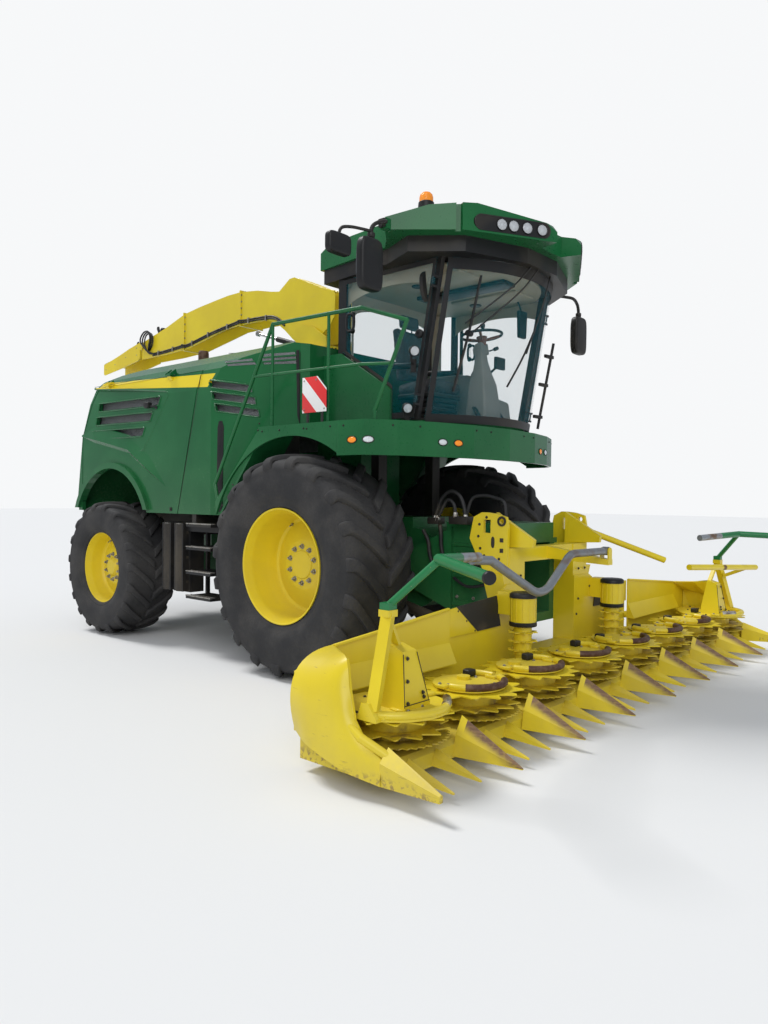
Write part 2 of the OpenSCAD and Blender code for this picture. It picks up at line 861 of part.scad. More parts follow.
module rim(lip, disc, half, hub) {
    rotate([0, 90, 0])
        rotate_extrude($fn = 72)
            polygon([[lip - 22, half], [lip, half], [lip, half - 14], [lip - 10, half - 40],
                     [lip - 34, half - 70], [lip - 34, -half + 70], [lip - 10, -half + 40],
                     [lip, -half + 14], [lip, -half], [lip - 22, -half], [lip - 22, -half + 40],
                     [lip - 46, -half + 80], [lip - 46, disc], [hub, disc], [hub, disc + 20],
                     [lip - 60, disc + 20], [lip - 46, disc + 60], [lip - 46, half - 80],
                     [lip - 22, half - 40]]);
    translate([disc, 0, 0])
        rotate([0, 90, 0])
            cylinder(h = 20, r = hub + 5);
    for (i = [0 : 9])
        rotate([i * 36, 0, 0])
            translate([disc + 20, 0, hub * 0.72])
                rotate([0, 90, 0])
                    cylinder(h = 35, r = 18, $fn = 24);
}

module at_front(s) placed() side(s) translate([front_tyre_x, 0, front_tyre_r]) children();
module at_rear(s) placed() side(s) translate([rear_tyre_x, wheelbase, rear_tyre_r]) children();

module rim_front_right() color(yellow) at_front(-1)
    rim(front_rim_r, front_disc_x - front_tyre_x, front_rim_half, hub_r);
module rim_front_left() color(yellow) at_front(1)
    rim(front_rim_r, front_disc_x - front_tyre_x, front_rim_half, hub_r);
module rim_rear_right() color(yellow) at_rear(-1)
    rim(rear_rim_r, rear_disc_x - rear_tyre_x, rear_rim_half, 150);
module rim_rear_left() color(yellow) at_rear(1)
    rim(rear_rim_r, rear_disc_x - rear_tyre_x, rear_rim_half, 150);
module tyre_front_right() color(tyre_black) at_front(-1)
    tyre(front_tyre_r, front_tyre_w, front_rim_r, front_rim_half);
module tyre_front_left() color(tyre_black) at_front(1)
    tyre(front_tyre_r, front_tyre_w, front_rim_r, front_rim_half);
module tyre_rear_right() color(tyre_black) at_rear(-1)
    tyre(rear_tyre_r, rear_tyre_w, rear_rim_r, rear_rim_half);
module tyre_rear_left() color(tyre_black) at_rear(1)
    tyre(rear_tyre_r, rear_tyre_w, rear_rim_r, rear_rim_half);

module knuckle() {
    z = rear_tyre_r;
    translate([kingpin_x, wheelbase, z - 155])
        cylinder(h = 310, r = kingpin_r);
    for (dz = [-155, 92])
        translate([kingpin_x - 70, wheelbase - 70, z + dz])
            cube([180, 140, 63]);
    translate([kingpin_x + 90, wheelbase - 90, z - 155])
        cube([60, 180, 310]);
    translate([kingpin_x + 150, wheelbase, z])
        rotate([0, 90, 0])
            cylinder(h = rear_disc_x - kingpin_x - 150 - seat_gap, r = 95);
}
module knuckle_right() color(green) placed() side(-1) knuckle();
module knuckle_left() color(green) placed() side(1) knuckle();

// Spout, its pieces in the middle plane

turret_z = hood_top_z + 5;
neck_r = 180;
spout_lift_y = 1250;
spout_lift_z = 3420;
spout_hinge = [4690, 3700];
lift_pivot_r = 20;

module spout_turret() color(yellow) placed() {
    translate([0, turret_y, turret_z])
        difference() {
            cylinder(h = 45, r = 300);
            translate([0, 0, -1])
                cylinder(h = 50, r = neck_r);
        }
    for (s = [-1, 1])
        along_x(s > 0 ? 185 : -205, s > 0 ? 205 : -185)
            polygon([[880, turret_z + 45], [1360, turret_z + 45], [1420, 3470], [1330, 3540],
                     [1100, 3480], [900, 3350]]);
    both_sides()
        translate([163, spout_lift_y, spout_lift_z])
            rotate([0, 90, 0])
                cylinder(h = 42, r = lift_pivot_r);
    translate([-20, 1360, turret_z + 20])
        cube([40, 60, 60]);
    for (x = [-62, 36])
        along_x(x, x + 26)
            polygon([[1340, turret_z + 20], [1400, turret_z + 20], [1480, cyl_foot[2] - 20],
                     [1480, cyl_foot[2] + 30], [1405, cyl_foot[2] + 30]]);
    translate([-60, cyl_foot[1], cyl_foot[2]])
        rotate([0, 90, 0])
            cylinder(h = 120, r = 15);
}

// A closed outline drawn in by t, corner by corner
function corner_in(a, b, c, t) =
    let (u = (b - a) / norm(b - a), v = (c - b) / norm(c - b), m = [-u[1] - v[1], u[0] + v[0]])
        b - m * t / (1 + u * v);
function inset(points, t) = let (n = len(points))
    [for (i = [0 : n - 1]) corner_in(points[(i + n - 1) % n], points[i], points[(i + 1) % n], t)];

spout_top = [[812, 3570], [806, 3790], [830, 3845], [1060, 3922], [1300, 4030], [1470, 4102],
             [1550, 4098], [1650, 4035], [1730, 3985], [1860, 4005], [2120, 4062], [2440, 4100],
             [2700, 4098], [2940, 4080], [3300, 4050], [3640, 4010], [4080, 3890], [4690, 3760]];
spout_under = [[4690, 3530], [4100, 3528], [3570, 3545], [3060, 3630], [2710, 3690], [2300, 3698],
               [1970, 3690], [1780, 3635], [1620, 3520], [1480, 3400], [1400, 3342], [1085, 3342],
               [880, 3480]];
spout_outline = concat(spout_top, spout_under);
// Flanged joints of the arm, as [y, low z, high z]
flanges = [[2440, 3698, 4100], [3640, 3541, 4010]];

module spout_arm() color(yellow) placed() {
    difference() {
        union() {
            along_x(-spout_w / 2, spout_w / 2)
                polygon(spout_outline);
            for (f = flanges)
                along_x(-spout_w / 2 - 16, spout_w / 2 + 16)
                    translate([f[0] - 12, f[1] - 16])
                        square([24, f[2] - f[1] + 32]);
            both_sides()
                translate([spout_w / 2 - 2, spout_lift_y, spout_lift_z])
                    rotate([0, 90, 0])
                        cylinder(h = 22, r = 48);
            both_sides()
                translate([spout_w / 2 - spout_t, spout_hinge[0], spout_hinge[1]])
                    rotate([0, 90, 0])
                        cylinder(h = spout_t, r = 32);
        }
        along_x(-spout_w / 2 + spout_t, spout_w / 2 - spout_t) {
            polygon(inset(spout_outline, -spout_t));
            polygon([[4600, 3542], [4600, 3740], [4800, 3740], [4800, 3542]]);
            polygon([[1095, 3300], [1095, 3430], [1385, 3430], [1385, 3300]]);
        }
        translate([-300, spout_lift_y, spout_lift_z])
            rotate([0, 90, 0])
                cylinder(h = 600, r = lift_pivot_r + 0.05);
    }
    both_sides()
        translate([spout_w / 2 - spout_t + 1, spout_hinge[0], spout_hinge[1]])
            rotate([0, 90, 0])
                cylinder(h = 29, r = 12);
}

module spout_flap() color(yellow) placed()
    difference() {
        union() {
            along_x(-spout_w / 2 - 20, spout_w / 2 + 20)
                polygon([[4715, 3768], [5000, 3712], [5300, 3640], [5500, 3598], [5720, 3560], [5722, 3420],
                         [5700, 3400], [5250, 3450], [4760, 3520], [4715, 3560]]);
            along_x(-spout_w / 2 - 20, spout_w / 2 + 20)
                translate(spout_hinge)
                    circle(r = 40);
        }
        along_x(-spout_w / 2 - 6, spout_w / 2 + 6)
            polygon([[4600, 3776], [4716, 3758], [5000, 3700], [5300, 3628], [5500, 3586], [5800, 3535],
                     [5800, 3300], [4600, 3300]]);
        translate([-300, spout_hinge[0], spout_hinge[1]])
            rotate([0, 90, 0])
                cylinder(h = 600, r = 12.05);
    }

// Lift cylinder of the arm: its foot on the turret, its eye under the arm
cyl_foot = [0, 1440, 3330];
cyl_eye = [0, 2300, 3600];
cyl_len = norm(cyl_eye - cyl_foot);
cyl_turn = atan2(cyl_eye[2] - cyl_foot[2], cyl_eye[1] - cyl_foot[1]);

module along_cylinder(s) translate(cyl_foot) rotate([cyl_turn - 90, 0, 0]) children();

module spout_barrel() color(black) placed() along_cylinder(0)
    difference() {
        union() {
            translate([0, 0, 30])
                cylinder(h = 490, r = 32);
            translate([-25, 0, 0])
                rotate([0, 90, 0])
                    cylinder(h = 50, r = 38);
        }
        translate([0, 0, 60])
            cylinder(h = 480, r = 18);
        translate([-30, 0, 0])
            rotate([0, 90, 0])
                cylinder(h = 60, r = 15.05);
    }
module spout_rod() color(steel) placed() along_cylinder(0)
    difference() {
        union() {
            translate([0, 0, 300])
                cylinder(h = cyl_len - 300, r = 17.95);
            translate([-20, 0, cyl_len])
                rotate([0, 90, 0])
                    cylinder(h = 40, r = 32);
        }
        translate([-30, 0, cyl_len])
            rotate([0, 90, 0])
                cylinder(h = 60, r = 15.05);
    }

// Header lift

lift_y = -480;
lift_z = 950;

module feed_housing() color(green) placed() {
    difference() {
        union() {
            translate([-400, -1560, 520])
                cube([800, 640, 880]);
            translate([-470, -1560, 500])
                cube([940, 30, 760]);
        }
        translate([-340, -1561, 580])
            cube([680, 500, 640]);
    }
    both_sides()
        difference() {
            along_x(403, 433)
                union() {
                    polygon([[-1000, 600], [-1000, 1350], [lift_y, lift_z + 160], [lift_y, lift_z - 160]]);
                    translate([lift_y, lift_z])
                        circle(r = 160);
                }
            translate([300, lift_y, lift_z])
                rotate([0, 90, 0])
                    cylinder(h = 200, r = 60.1);
        }
    both_sides()
        translate([400, -1000, 700])
            cube([3, 80, 500]);
    translate([-600, -1300, 440])
        cube([1200, 95, 80]);
    both_sides() {
        clevis(lift_eye[0], lift_eye[1], 40, 50, 16);
        for (x = [lift_cyl_x - 41, lift_cyl_x + 25])
            translate([x, -1205, 440])
                cube([16, 55, 80]);
    }
}

// Header lift cylinders, beside the housing: root on the axle, eye on the housing's beam
lift_cyl_x = 540;
lift_root = [-180, 700];
lift_eye = [-1150, 480];
lift_len = norm(lift_eye - lift_root);
lift_tilt = atan2(lift_eye[1] - lift_root[1], lift_eye[0] - lift_root[0]);
lift_pin_r = 20;

module along_lift() both_sides()
    translate([lift_cyl_x, lift_root[0], lift_root[1]])
        rotate([lift_tilt - 90, 0, 0])
            children();

module lift_barrels() color(black) placed() along_lift()
    difference() {
        union() {
            translate([0, 0, 45])
                cylinder(h = lift_len - 250, r = 48);
            translate([-22, 0, 0])
                rotate([0, 90, 0])
                    cylinder(h = 44, r = 50);
        }
        translate([0, 0, 70])
            cylinder(h = lift_len, r = 22);
        translate([-30, 0, 0])
            rotate([0, 90, 0])
                cylinder(h = 60, r = lift_pin_r + 0.05);
    }
module lift_rods() color(steel) placed() along_lift()
    difference() {
        union() {
            translate([0, 0, lift_len - 600])
                cylinder(h = 600, r = 21.95);
            translate([-22, 0, lift_len])
                rotate([0, 90, 0])
                    cylinder(h = 44, r = 45);
        }
        translate([-30, 0, lift_len])
            rotate([0, 90, 0])
                cylinder(h = 60, r = lift_pin_r + 5);
    }
// Two ears with a pin across them
module clevis(y, z, r, gap, ear)
    translate([lift_cyl_x, y, z]) {
        for (x = [-gap / 2 - ear, gap / 2])
            translate([x, 0, 0])
                rotate([0, 90, 0])
                    cylinder(h = ear, r = r);
        translate([-gap / 2 - ear, 0, 0])
            rotate([0, 90, 0])
                cylinder(h = gap + 2 * ear, r = lift_pin_r);
    }

// Header

base_low_z = 70;
base_top_z = 200;
wall_y = -1800;

module star(r, root, n)
    polygon([for (i = [0 : n - 1], k = [0, 1])
        let (a = (i + 0.5 * k) * 360 / n, q = k == 0 ? r : root)
            [q * cos(a), q * sin(a)]]);

// A ring of hooked fingers: root, swept tip and back of each finger
module finger_plate(r, root, n)
    polygon([for (i = [0 : n - 1], q = [[root, 0], [r, 0.62], [r - 12, 0.74], [root + 25, 0.86]])
        let (a = (i + q[1]) * 360 / n)
            [q[0] * cos(a), q[0] * sin(a)]]);

module at_rotor(n) translate([(n - 4.5) * row_pitch, rotor_y, 0]) children();

// Feeding rings of a rotor, as [height, radius, root radius]
rings = [[290, 0.94, 0.74], [rotor_top_z - 8, 1, 0.78]];

module rotor(n) color(yellow) placed() at_rotor(n)
    difference() {
        union() {
            translate([0, 0, base_top_z + seat_gap])
                cylinder(h = rotor_top_z - base_top_z - seat_gap, r = 190);
            for (q = rings)
                translate([0, 0, q[0]])
                    linear_extrude(8)
                        finger_plate(rotor_r * q[1], rotor_r * q[2], finger_count);
            translate([0, 0, saw_z])
                linear_extrude(8)
                    star(saw_r, saw_r - 22, saw_teeth);
        }
        translate([0, 0, base_top_z - 1])
            cylinder(h = 300, r = mast_r + 0.05);
    }
mast_r = 45;
module rotor_1() rotor(1);
module rotor_2() rotor(2);
module rotor_3() rotor(3);
module rotor_4() rotor(4);
module rotor_5() rotor(5);
module rotor_6() rotor(6);
module rotor_7() rotor(7);
module rotor_8() rotor(8);

// The fixed cap over a rotor, on the mast through it, with a bow at the front
cap_z = rotor_top_z + 8;
bow_r = 240;
bow_d = 44;
module rotor_cap(turn) {
    translate([0, 0, base_top_z - 1])
        cylinder(h = cap_z - base_top_z + 2, r = mast_r);
    translate([0, 0, cap_z])
        cylinder(h = 12, r = bow_r);
    translate([0, 0, cap_z + 12 + bow_d / 2 - 4])
        rotate([0, 0, turn])
            bow(bow_r - 10, bow_d, -165, -15);
    translate([-60, 90, cap_z + 12])
        cylinder(h = 22, r = 45);
}

drum_x = 780;
drum_y = -1970;
module drum(s) color(yellow) placed()
    translate([s * drum_x, drum_y, 0]) {
        translate([0, 0, 400 + seat_gap])
            cylinder(h = 215, r = 70);
        for (z = [430, 500, 570])
            translate([0, 0, z])
                linear_extrude(8)
                    star(118, 80, 10);
    }
module drum_right() drum(-1);
module drum_left() drum(1);

base_front_y = -2465;
divider_root_y = base_front_y;
point_root_y = base_front_y;
fold_gap = 8;
tip_half = 6;

// A row divider from its root outline to its tip: flat below, ridged on top
module spike(x, root_y, tip_y, half, low, high, tip_z)
    between([[x - half, root_y, low], [x + half, root_y, low], [x + half * 0.72, root_y, low + (high - low) * 0.55],
             [x, root_y, high], [x - half * 0.72, root_y, low + (high - low) * 0.55]],
            [[x - tip_half, tip_y, tip_z - 12], [x + tip_half, tip_y, tip_z - 12], [x + tip_half, tip_y, tip_z - 6],
             [x, tip_y, tip_z], [x - tip_half, tip_y, tip_z - 6]]);

module big_spike(x, root_y)
    spike(x, root_y, divider_root_y - divider_len, divider_half, base_low_z + 10,
          base_low_z + 10 + divider_h, 92);
module small_spikes(n, root_y)
    for (d = [-125, 125])
        spike((n - 4.5) * row_pitch + d, root_y, point_root_y - point_len, 42, base_low_z + 5,
              base_low_z + 100, 62);

module header_points() color(yellow) placed() {
    for (i = [-2 : 2])
        big_spike(i * row_pitch, divider_root_y);
    for (n = [3 : 6])
        small_spikes(n, point_root_y);
}

wing_x = 2 * row_pitch + 8;
fold_pin_r = 14;

module base_beam(x0, x1, front_y)
    along_x(x0, x1)
        polygon([[wall_y, base_low_z], [wall_y, base_top_z], [rotor_y, base_top_z],
                 [front_y + 30, base_top_z - 25], [front_y, base_top_z - 50],
                 [front_y, base_low_z]]);

module header_frame() color(yellow) placed() {
    x1 = 2 * row_pitch - 8;
    back = wall_y + 30;
    base_beam(-x1, x1, base_front_y);
    for (n = [3 : 6])
        at_rotor(n)
            rotor_cap(n > 4 ? 10 : -10);
    both_sides() {
        translate([420, wall_y, base_low_z])
            cube([x1 - 420, 30, base_top_z - base_low_z]);
        along_y(back, back + 12)
            polygon([[420, base_low_z], [x1, base_low_z], [x1, 640], [1180, wall_top_z - 130],
                     [700, wall_top_z + 100], [420, wall_top_z + 100]]);
        along_y(back + 12, -1560 - seat_gap)
            polygon([[420, base_low_z], [600, base_low_z], [600, 620], [760, 1000], [655, 1000],
                     [655, 1210], [420, 1210]]);
        // Ear and pin of the wing's fold hinge
        along_y(back, back + 12)
            union() {
                translate([2 * row_pitch, fold_z])
                    circle(r = 32);
                translate([1400, fold_z - 32])
                    square([100, 64]);
            }
        translate([2 * row_pitch, back, fold_z])
            rotate([90, 0, 0])
                cylinder(h = 29, r = fold_pin_r);
        difference() {
            along_x(655, 685)
                difference() {
                    polygon([[back + 20, wall_top_z + 60], [back + 180, wall_top_z + 60], [-1380, 1280],
                             [-1420, 1460], [-1500, 1500], [-1560, 1500], [-1650, 1490],
                             [-1740, 1465], [back + 12, 1380]]);
                    translate([-1700, 1430])
                        circle(r = 22);
                    translate([-1590, 1330])
                        square([70, 110]);
                }
        }
        along_x(560, 600)
            polygon([[-1590, 1210], [-1640, 1210], [-1940, 1225], [-1950, 1285], [-1590, 1500]]);
        translate([drum_x, drum_y, 625])
            cylinder(h = 245, r = 100);
        translate([drum_x, drum_y, 870])
            cylinder(h = 12, r = 88);
        translate([drum_x - 60, drum_y, 700])
            cube([120, back - drum_y, 180]);
        translate([drum_x, drum_y, base_top_z])
            cylinder(h = 200, r = 60);
    }
    translate([-655, back + 20, 1090])
        cube([1310, 120, 120]);
    translate([-420, wall_y, base_low_z])
        cube([840, 200, 260]);
    along_x(-arm_half, arm_half)
        polygon([[back + 20, 1100], [pusher_y - 40, 1075], [pusher_y - 40, 1120], [back + 20, 1205]]);
    for (y = [pusher_y - 40, pusher_y + eye_half + 3])
        along_y(y, y + 37 - eye_half)
            union() {
                translate([0, eye_z])
                    circle(r = 30);
                translate([-30, 1100])
                    square([60, eye_z - 1100]);
            }
    translate([0, pusher_y + 40, eye_z])
        rotate([90, 0, 0])
            cylinder(h = 80, r = eye_r);
}

arm_half = 40;
pusher_y = -2280;
eye_z = 1190;
eye_r = 14;
eye_half = 25;

// Normal of a route in (x, z) at its point k, longer where the route bends
function route_normal(p, k) =
    let (n = len(p), u = p[max(k, 1)] - p[max(k, 1) - 1], v = p[min(k, n - 2) + 1] - p[min(k, n - 2)],
         t = u / norm(u) + v / norm(v), q = t / norm(t))
        [-q[1], q[0]] * norm(u) / (q * u);

// A tube of radius r along a flat route in (x, z), with n sides
module flat_tube(route, y, r, n) {
    m = len(route);
    polyhedron(
        points = [for (k = [0 : m - 1], i = [0 : n - 1])
            let (a = 360 * (i + 0.5) / n, q = route_normal(route, k) * r * cos(a))
                [route[k][0] + q[0], y + r * sin(a), route[k][1] + q[1]]],
        faces = concat([[for (i = [n - 1 : -1 : 0]) i]],
            [[for (i = [0 : n - 1]) i + (m - 1) * n]],
            [for (k = [0 : m - 2], i = [0 : n - 1]) each
                let (a = k * n + i, b = k * n + (i + 1) % n)
                    [[a, b, a + n], [b, b + n, a + n]]]));
}

// The swinging tube that pushes the crop down ahead of the inner rotors
pusher_route = [[-1920, 1215], [-1700, 1200], [-1160, 955], [-1105, 938], [-1050, 934],
                [-990, 941], [-930, 962], [-640, 1168], [-600, 1186], [-550, 1193], [-60, eye_z]];

module crop_pusher() color(steel) placed()
    difference() {
        union() {
            flat_tube(pusher_route, pusher_y, 31, 24);
            translate([-64, pusher_y - eye_half, eye_z - 24])
                cube([64, 2 * eye_half, 48]);
            translate([0, pusher_y + eye_half, eye_z])
                rotate([90, 0, 0])
                    cylinder(h = 2 * eye_half, r = 36);
        }
        translate([0, pusher_y + 60, eye_z])
            rotate([90, 0, 0])
                cylinder(h = 120, r = eye_r + 0.05);
    }

guide_d = 58;
module side_guide() color(yellow) placed() {
    translate([685 + seat_gap, -1660, 1350])
        rotate([0, 90, 0])
            cylinder(h = 30, d = guide_d + 30);
    tube([[712, -1660, 1350], [1350, -2235, 1040]], guide_d);
}

// The end shield's bent sheet: lower edge, knee and top edge, from rear to nose
shield_rows = [
    [[3000, -1800, 250], [3055, -1950, 210], [3065, -2100, 170], [3065, -2220, 140], [3055, -2300, 120],
     [3035, -2380, 105], [3015, -2492, 90]],
    [[3000, -1800, 585], [3030, -1950, 565], [3048, -2100, 520], [3050, -2200, 430], [3045, -2270, 330],
     [3035, -2360, 225], [3015, -2492, 150]],
    [[2690, -1788, 700], [2820, -1980, 705], [2950, -2170, 710], [2985, -2230, 550], [3000, -2280, 400],
     [3000, -2370, 285], [2990, -2492, 215]]];

module end_shield() translate([header_half - 3080, 0, 0]) {
    bent_sheet(shield_rows, [-14, -4, -4]);
    along_y(wall_y, wall_y + 12)
        polygon([[2600, 70], [3000, 240], [3002, 590], [2692, 704], [2600, 708]]);
    between([[2900, -2485, 90], [3016, -2485, 90], [3020, -2485, 215], [2950, -2485, 285], [2905, -2485, 230]],
            [[2985, -2880, 105], [3015, -2880, 105], [3015, -2880, 140], [3000, -2880, 150], [2987, -2880, 140]]);
    tube([[2990, -2130, 450], [3018, -2240, 380], [3010, -2340, 315], [2960, -2500, 235]], 52);
}

module wing() {
    x1 = header_half - 120;
    front_y = base_front_y + fold_gap;
    base_beam(wing_x, x1, front_y);
    along_x(wing_x, 2700)
        polygon([[wall_y, 560], [-1868, 420], [-1868, 412], [wall_y, 412]]);
    difference() {
        along_y(wall_y, wall_y + 12)
            polygon([[wing_x, base_low_z], [2690, base_low_z], [2690, 700], [wing_x, wall_top_z - 10]]);
        translate([2 * row_pitch, wall_y + 60, fold_z])
            rotate([90, 0, 0])
                cylinder(h = 120, r = fold_pin_r + 4);
    }
    difference() {
        along_y(wall_y, wall_y + 24)
            union() {
                translate([2 * row_pitch, fold_z])
                    circle(r = 34);
                translate([2 * row_pitch, fold_z - 34])
                    square([90, 68]);
            }
        translate([2 * row_pitch, wall_y + 60, fold_z])
            rotate([90, 0, 0])
                cylinder(h = 120, r = fold_pin_r + 0.05);
    }
    for (n = [7, 8])
        small_spikes(n, front_y);
    big_spike(3 * row_pitch, front_y);
    at_rotor(7)
        rotor_cap(10);
    // The outer rotor's cover, with the box tower and the bow on it
    at_rotor(8) {
        translate([0, 0, base_top_z - 1])
            cylinder(h = cap_z - base_top_z + 2, r = mast_r);
        translate([0, 0, cap_z])
            cylinder(h = 12, r = 330);
        translate([0, 0, cap_z])
            cube([335, 380, 12]);
        translate([0, 0, cap_z + 30])
            bow(312, 50, -140, -12);
    }
    intersection() {
        along_y(-2385, -2190)
            polygon([[2470, cap_z + 12], [2705, cap_z + 12], [2655, 760], [2545, 760]]);
        along_x(2400, 2800)
            polygon([[-2400, cap_z + 12], [-2180, cap_z + 12], [-2230, 760], [-2330, 728], [-2385, 420]]);
    }
    end_shield();
    along_x(2885, x1)
        polygon([[-2260, cap_z], [-2400, cap_z], [-2400, cap_z + 22], [-2340, 490], [-2290, 490]]);
    beam([2925, -2345, 440], [2725, -2275, 955], 66, 54);
    beam([2590, -2235, 735], [2722, -2262, 935], 40, 24);
    translate([2688, -2314, 935])
        cube([78, 78, 40]);
}
module wing_right() color(yellow) placed() side(-1) wing();
module wing_left() color(yellow) placed() {
    wing();
    tube([[1600, -2380, 965], [2950, -2600, 900]], guide_d);
    beam([2760, -2330, 800], [2790, -2574, 908], 36, 36);
}

module wing_guide() {
    tube([[3000, -3150, 1240], [2590, -2530, 1270], [1950, -2352, 1240]], 62);
    bar([2724, -2282, 1002], [2592, -2515, 1252], 46);
    translate([2692, -2310, 975 + seat_gap])
        cube([70, 70, 40]);
}
module wing_guide_right() color(green) placed() side(-1) wing_guide();
module wing_guide_left() color(green) placed() side(1) wing_guide();

frame();
front_axle();
rear_axle();
chopper_housing();
engine();
hood();
cowl();
platform();
side_steps();
handrails();
cab_base();
cab_frame();
cab_roof();
lamps();
cab_glass();
seat();
controls();
mirrors();
ballast();
hood_panel_right();
hood_panel_left();
door_right();
door_left();
knuckle_right();
knuckle_left();
rim_front_right();
tyre_front_right();
rim_front_left();
tyre_front_left();
rim_rear_right();
tyre_rear_right();
rim_rear_left();
tyre_rear_left();
spout_turret();
spout_arm();
spout_flap();
spout_barrel();
spout_rod();
feed_housing();
lift_barrels();
lift_rods();
header_frame();
header_points();
crop_pusher();
side_guide();
wing_right();
wing_left();
wing_guide_right();
wing_guide_left();
rotor_1();
rotor_2();
rotor_3();
rotor_4();
rotor_5();
rotor_6();
rotor_7();
rotor_8();
drum_right();
drum_left();
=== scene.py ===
# %% [markdown]
# # A forage harvester with a rotary maize header
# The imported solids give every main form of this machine: hood, cab, wheels, spout,
# header and rotors. This lesson dresses them. It gives each surface its paint, rubber,
# glass or plastic, and adds the small parts that a solid model leaves out, such as
# bolts, hoses, wipers, lamps, mesh grilles and worn edges.

# %% Load the solids as a fixed frame
import bpy
import bmesh
import json
import math
from mathutils import Matrix, Vector


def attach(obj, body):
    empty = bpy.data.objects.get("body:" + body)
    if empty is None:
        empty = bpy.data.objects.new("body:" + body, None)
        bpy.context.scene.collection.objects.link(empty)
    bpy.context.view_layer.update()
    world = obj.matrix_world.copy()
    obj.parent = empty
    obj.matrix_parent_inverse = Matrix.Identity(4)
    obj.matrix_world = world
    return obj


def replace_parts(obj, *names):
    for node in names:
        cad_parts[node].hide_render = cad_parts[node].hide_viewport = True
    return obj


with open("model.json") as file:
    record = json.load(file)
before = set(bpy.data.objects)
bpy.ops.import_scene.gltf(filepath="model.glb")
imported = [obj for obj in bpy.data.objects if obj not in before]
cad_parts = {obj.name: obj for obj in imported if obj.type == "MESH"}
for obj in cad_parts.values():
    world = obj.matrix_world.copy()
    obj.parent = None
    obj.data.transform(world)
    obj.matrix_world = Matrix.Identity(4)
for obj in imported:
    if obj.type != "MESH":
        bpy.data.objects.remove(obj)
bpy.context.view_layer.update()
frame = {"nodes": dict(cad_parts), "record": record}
bpy.ops.object.select_all(action="DESELECT")
nodes = frame["nodes"]

# %% [markdown]
# The machine was measured from its front axle, while the frame's origin is the middle
# of its footprint. One number shifts every measured place along Y.

# %% Places measured from the front axle
SHIFT = -1.27
ORIGIN = Vector((0, 0, 0))
both = (("right", -1), ("left", 1))


def place(x, y, z):
    return Vector((x, y + SHIFT, z))


# %% [markdown]
# ## The camera
# The photographer stood ahead of the machine's right front corner at eye height, and
# held the camera almost level. The lens is a wide one, so the near header looms large.

# %% Camera
def aim(position, yaw, pitch, roll):
    a, b, c = (math.radians(v) for v in (yaw, pitch, roll))
    ahead = Vector((math.sin(a) * math.cos(b), math.cos(a) * math.cos(b), math.sin(b)))
    right = Vector((math.cos(a), -math.sin(a), 0))
    up = right.cross(ahead)
    right, up = (math.cos(c) * right + math.sin(c) * up, math.cos(c) * up - math.sin(c) * right)
    turn = Matrix((right, up, -ahead)).transposed().to_4x4()
    return Matrix.Translation(position) @ turn


lens = bpy.data.cameras.new("camera")
lens.sensor_width = 36
lens.lens = 27.1
lens.clip_end = 200
camera = bpy.data.objects.new("camera", lens)
bpy.context.scene.collection.objects.link(camera)
camera.matrix_world = aim(place(-6.014, -5.177, 1.611), 48.17, -1.05, 0.65)
bpy.context.scene.camera = camera

# %% [markdown]
# ## Light and floor
# A pale floor and a white surround keep the colours honest. One broad soft lamp stands
# where the sun was, behind the machine, and a weaker one fills the near side.

# %% Light and floor
view = bpy.context.scene.view_settings
view.view_transform = "Standard"


def soft_sun(name, toward, power, spread):
    lamp = bpy.data.lights.new(name, "SUN")
    lamp.energy = power
    lamp.angle = math.radians(spread)
    sun = bpy.data.objects.new(name, lamp)
    sun.rotation_euler = Vector(toward).to_track_quat("-Z", "Y").to_euler()
    bpy.context.scene.collection.objects.link(sun)
    return sun


soft_sun("high_lamp", (0.10, -0.55, -0.85), 2.1, 18)
soft_sun("near_lamp", (0.70, 0.55, -0.55), 1.1, 40)

world = bpy.data.worlds.new("surround")
bpy.context.scene.world = world
world.use_nodes = True
tree = world.node_tree
tree.nodes.clear()
path = tree.nodes.new("ShaderNodeLightPath")
seen = tree.nodes.new("ShaderNodeMath")
seen.operation = "MAXIMUM"
tree.links.new(path.outputs["Is Camera Ray"], seen.inputs[0])
tree.links.new(path.outputs["Is Transmission Ray"], seen.inputs[1])
lit = tree.nodes.new("ShaderNodeBackground")
lit.inputs["Color"].default_value = (0.86, 0.91, 1.0, 1)
lit.inputs["Strength"].default_value = 0.48
white = tree.nodes.new("ShaderNodeBackground")
white.inputs["Color"].default_value = (0.93, 0.94, 0.95, 1)
white.inputs["Strength"].default_value = 1.0
blend = tree.nodes.new("ShaderNodeMixShader")
out = tree.nodes.new("ShaderNodeOutputWorld")
tree.links.new(seen.outputs[0], blend.inputs["Fac"])
tree.links.new(lit.outputs[0], blend.inputs[1])
tree.links.new(white.outputs[0], blend.inputs[2])
tree.links.new(blend.outputs[0], out.inputs["Surface"])

bpy.ops.mesh.primitive_plane_add(size=160, location=(0, 0, -0.002))
floor = bpy.context.object
floor.name = "floor"

# %% [markdown]
# ## A small language for finishes
# A finish is a graph of shader nodes. Written as sums and products in Python, it reads
# like a recipe. One class wraps a socket and turns arithmetic into Math nodes, and one
# method makes every other node.

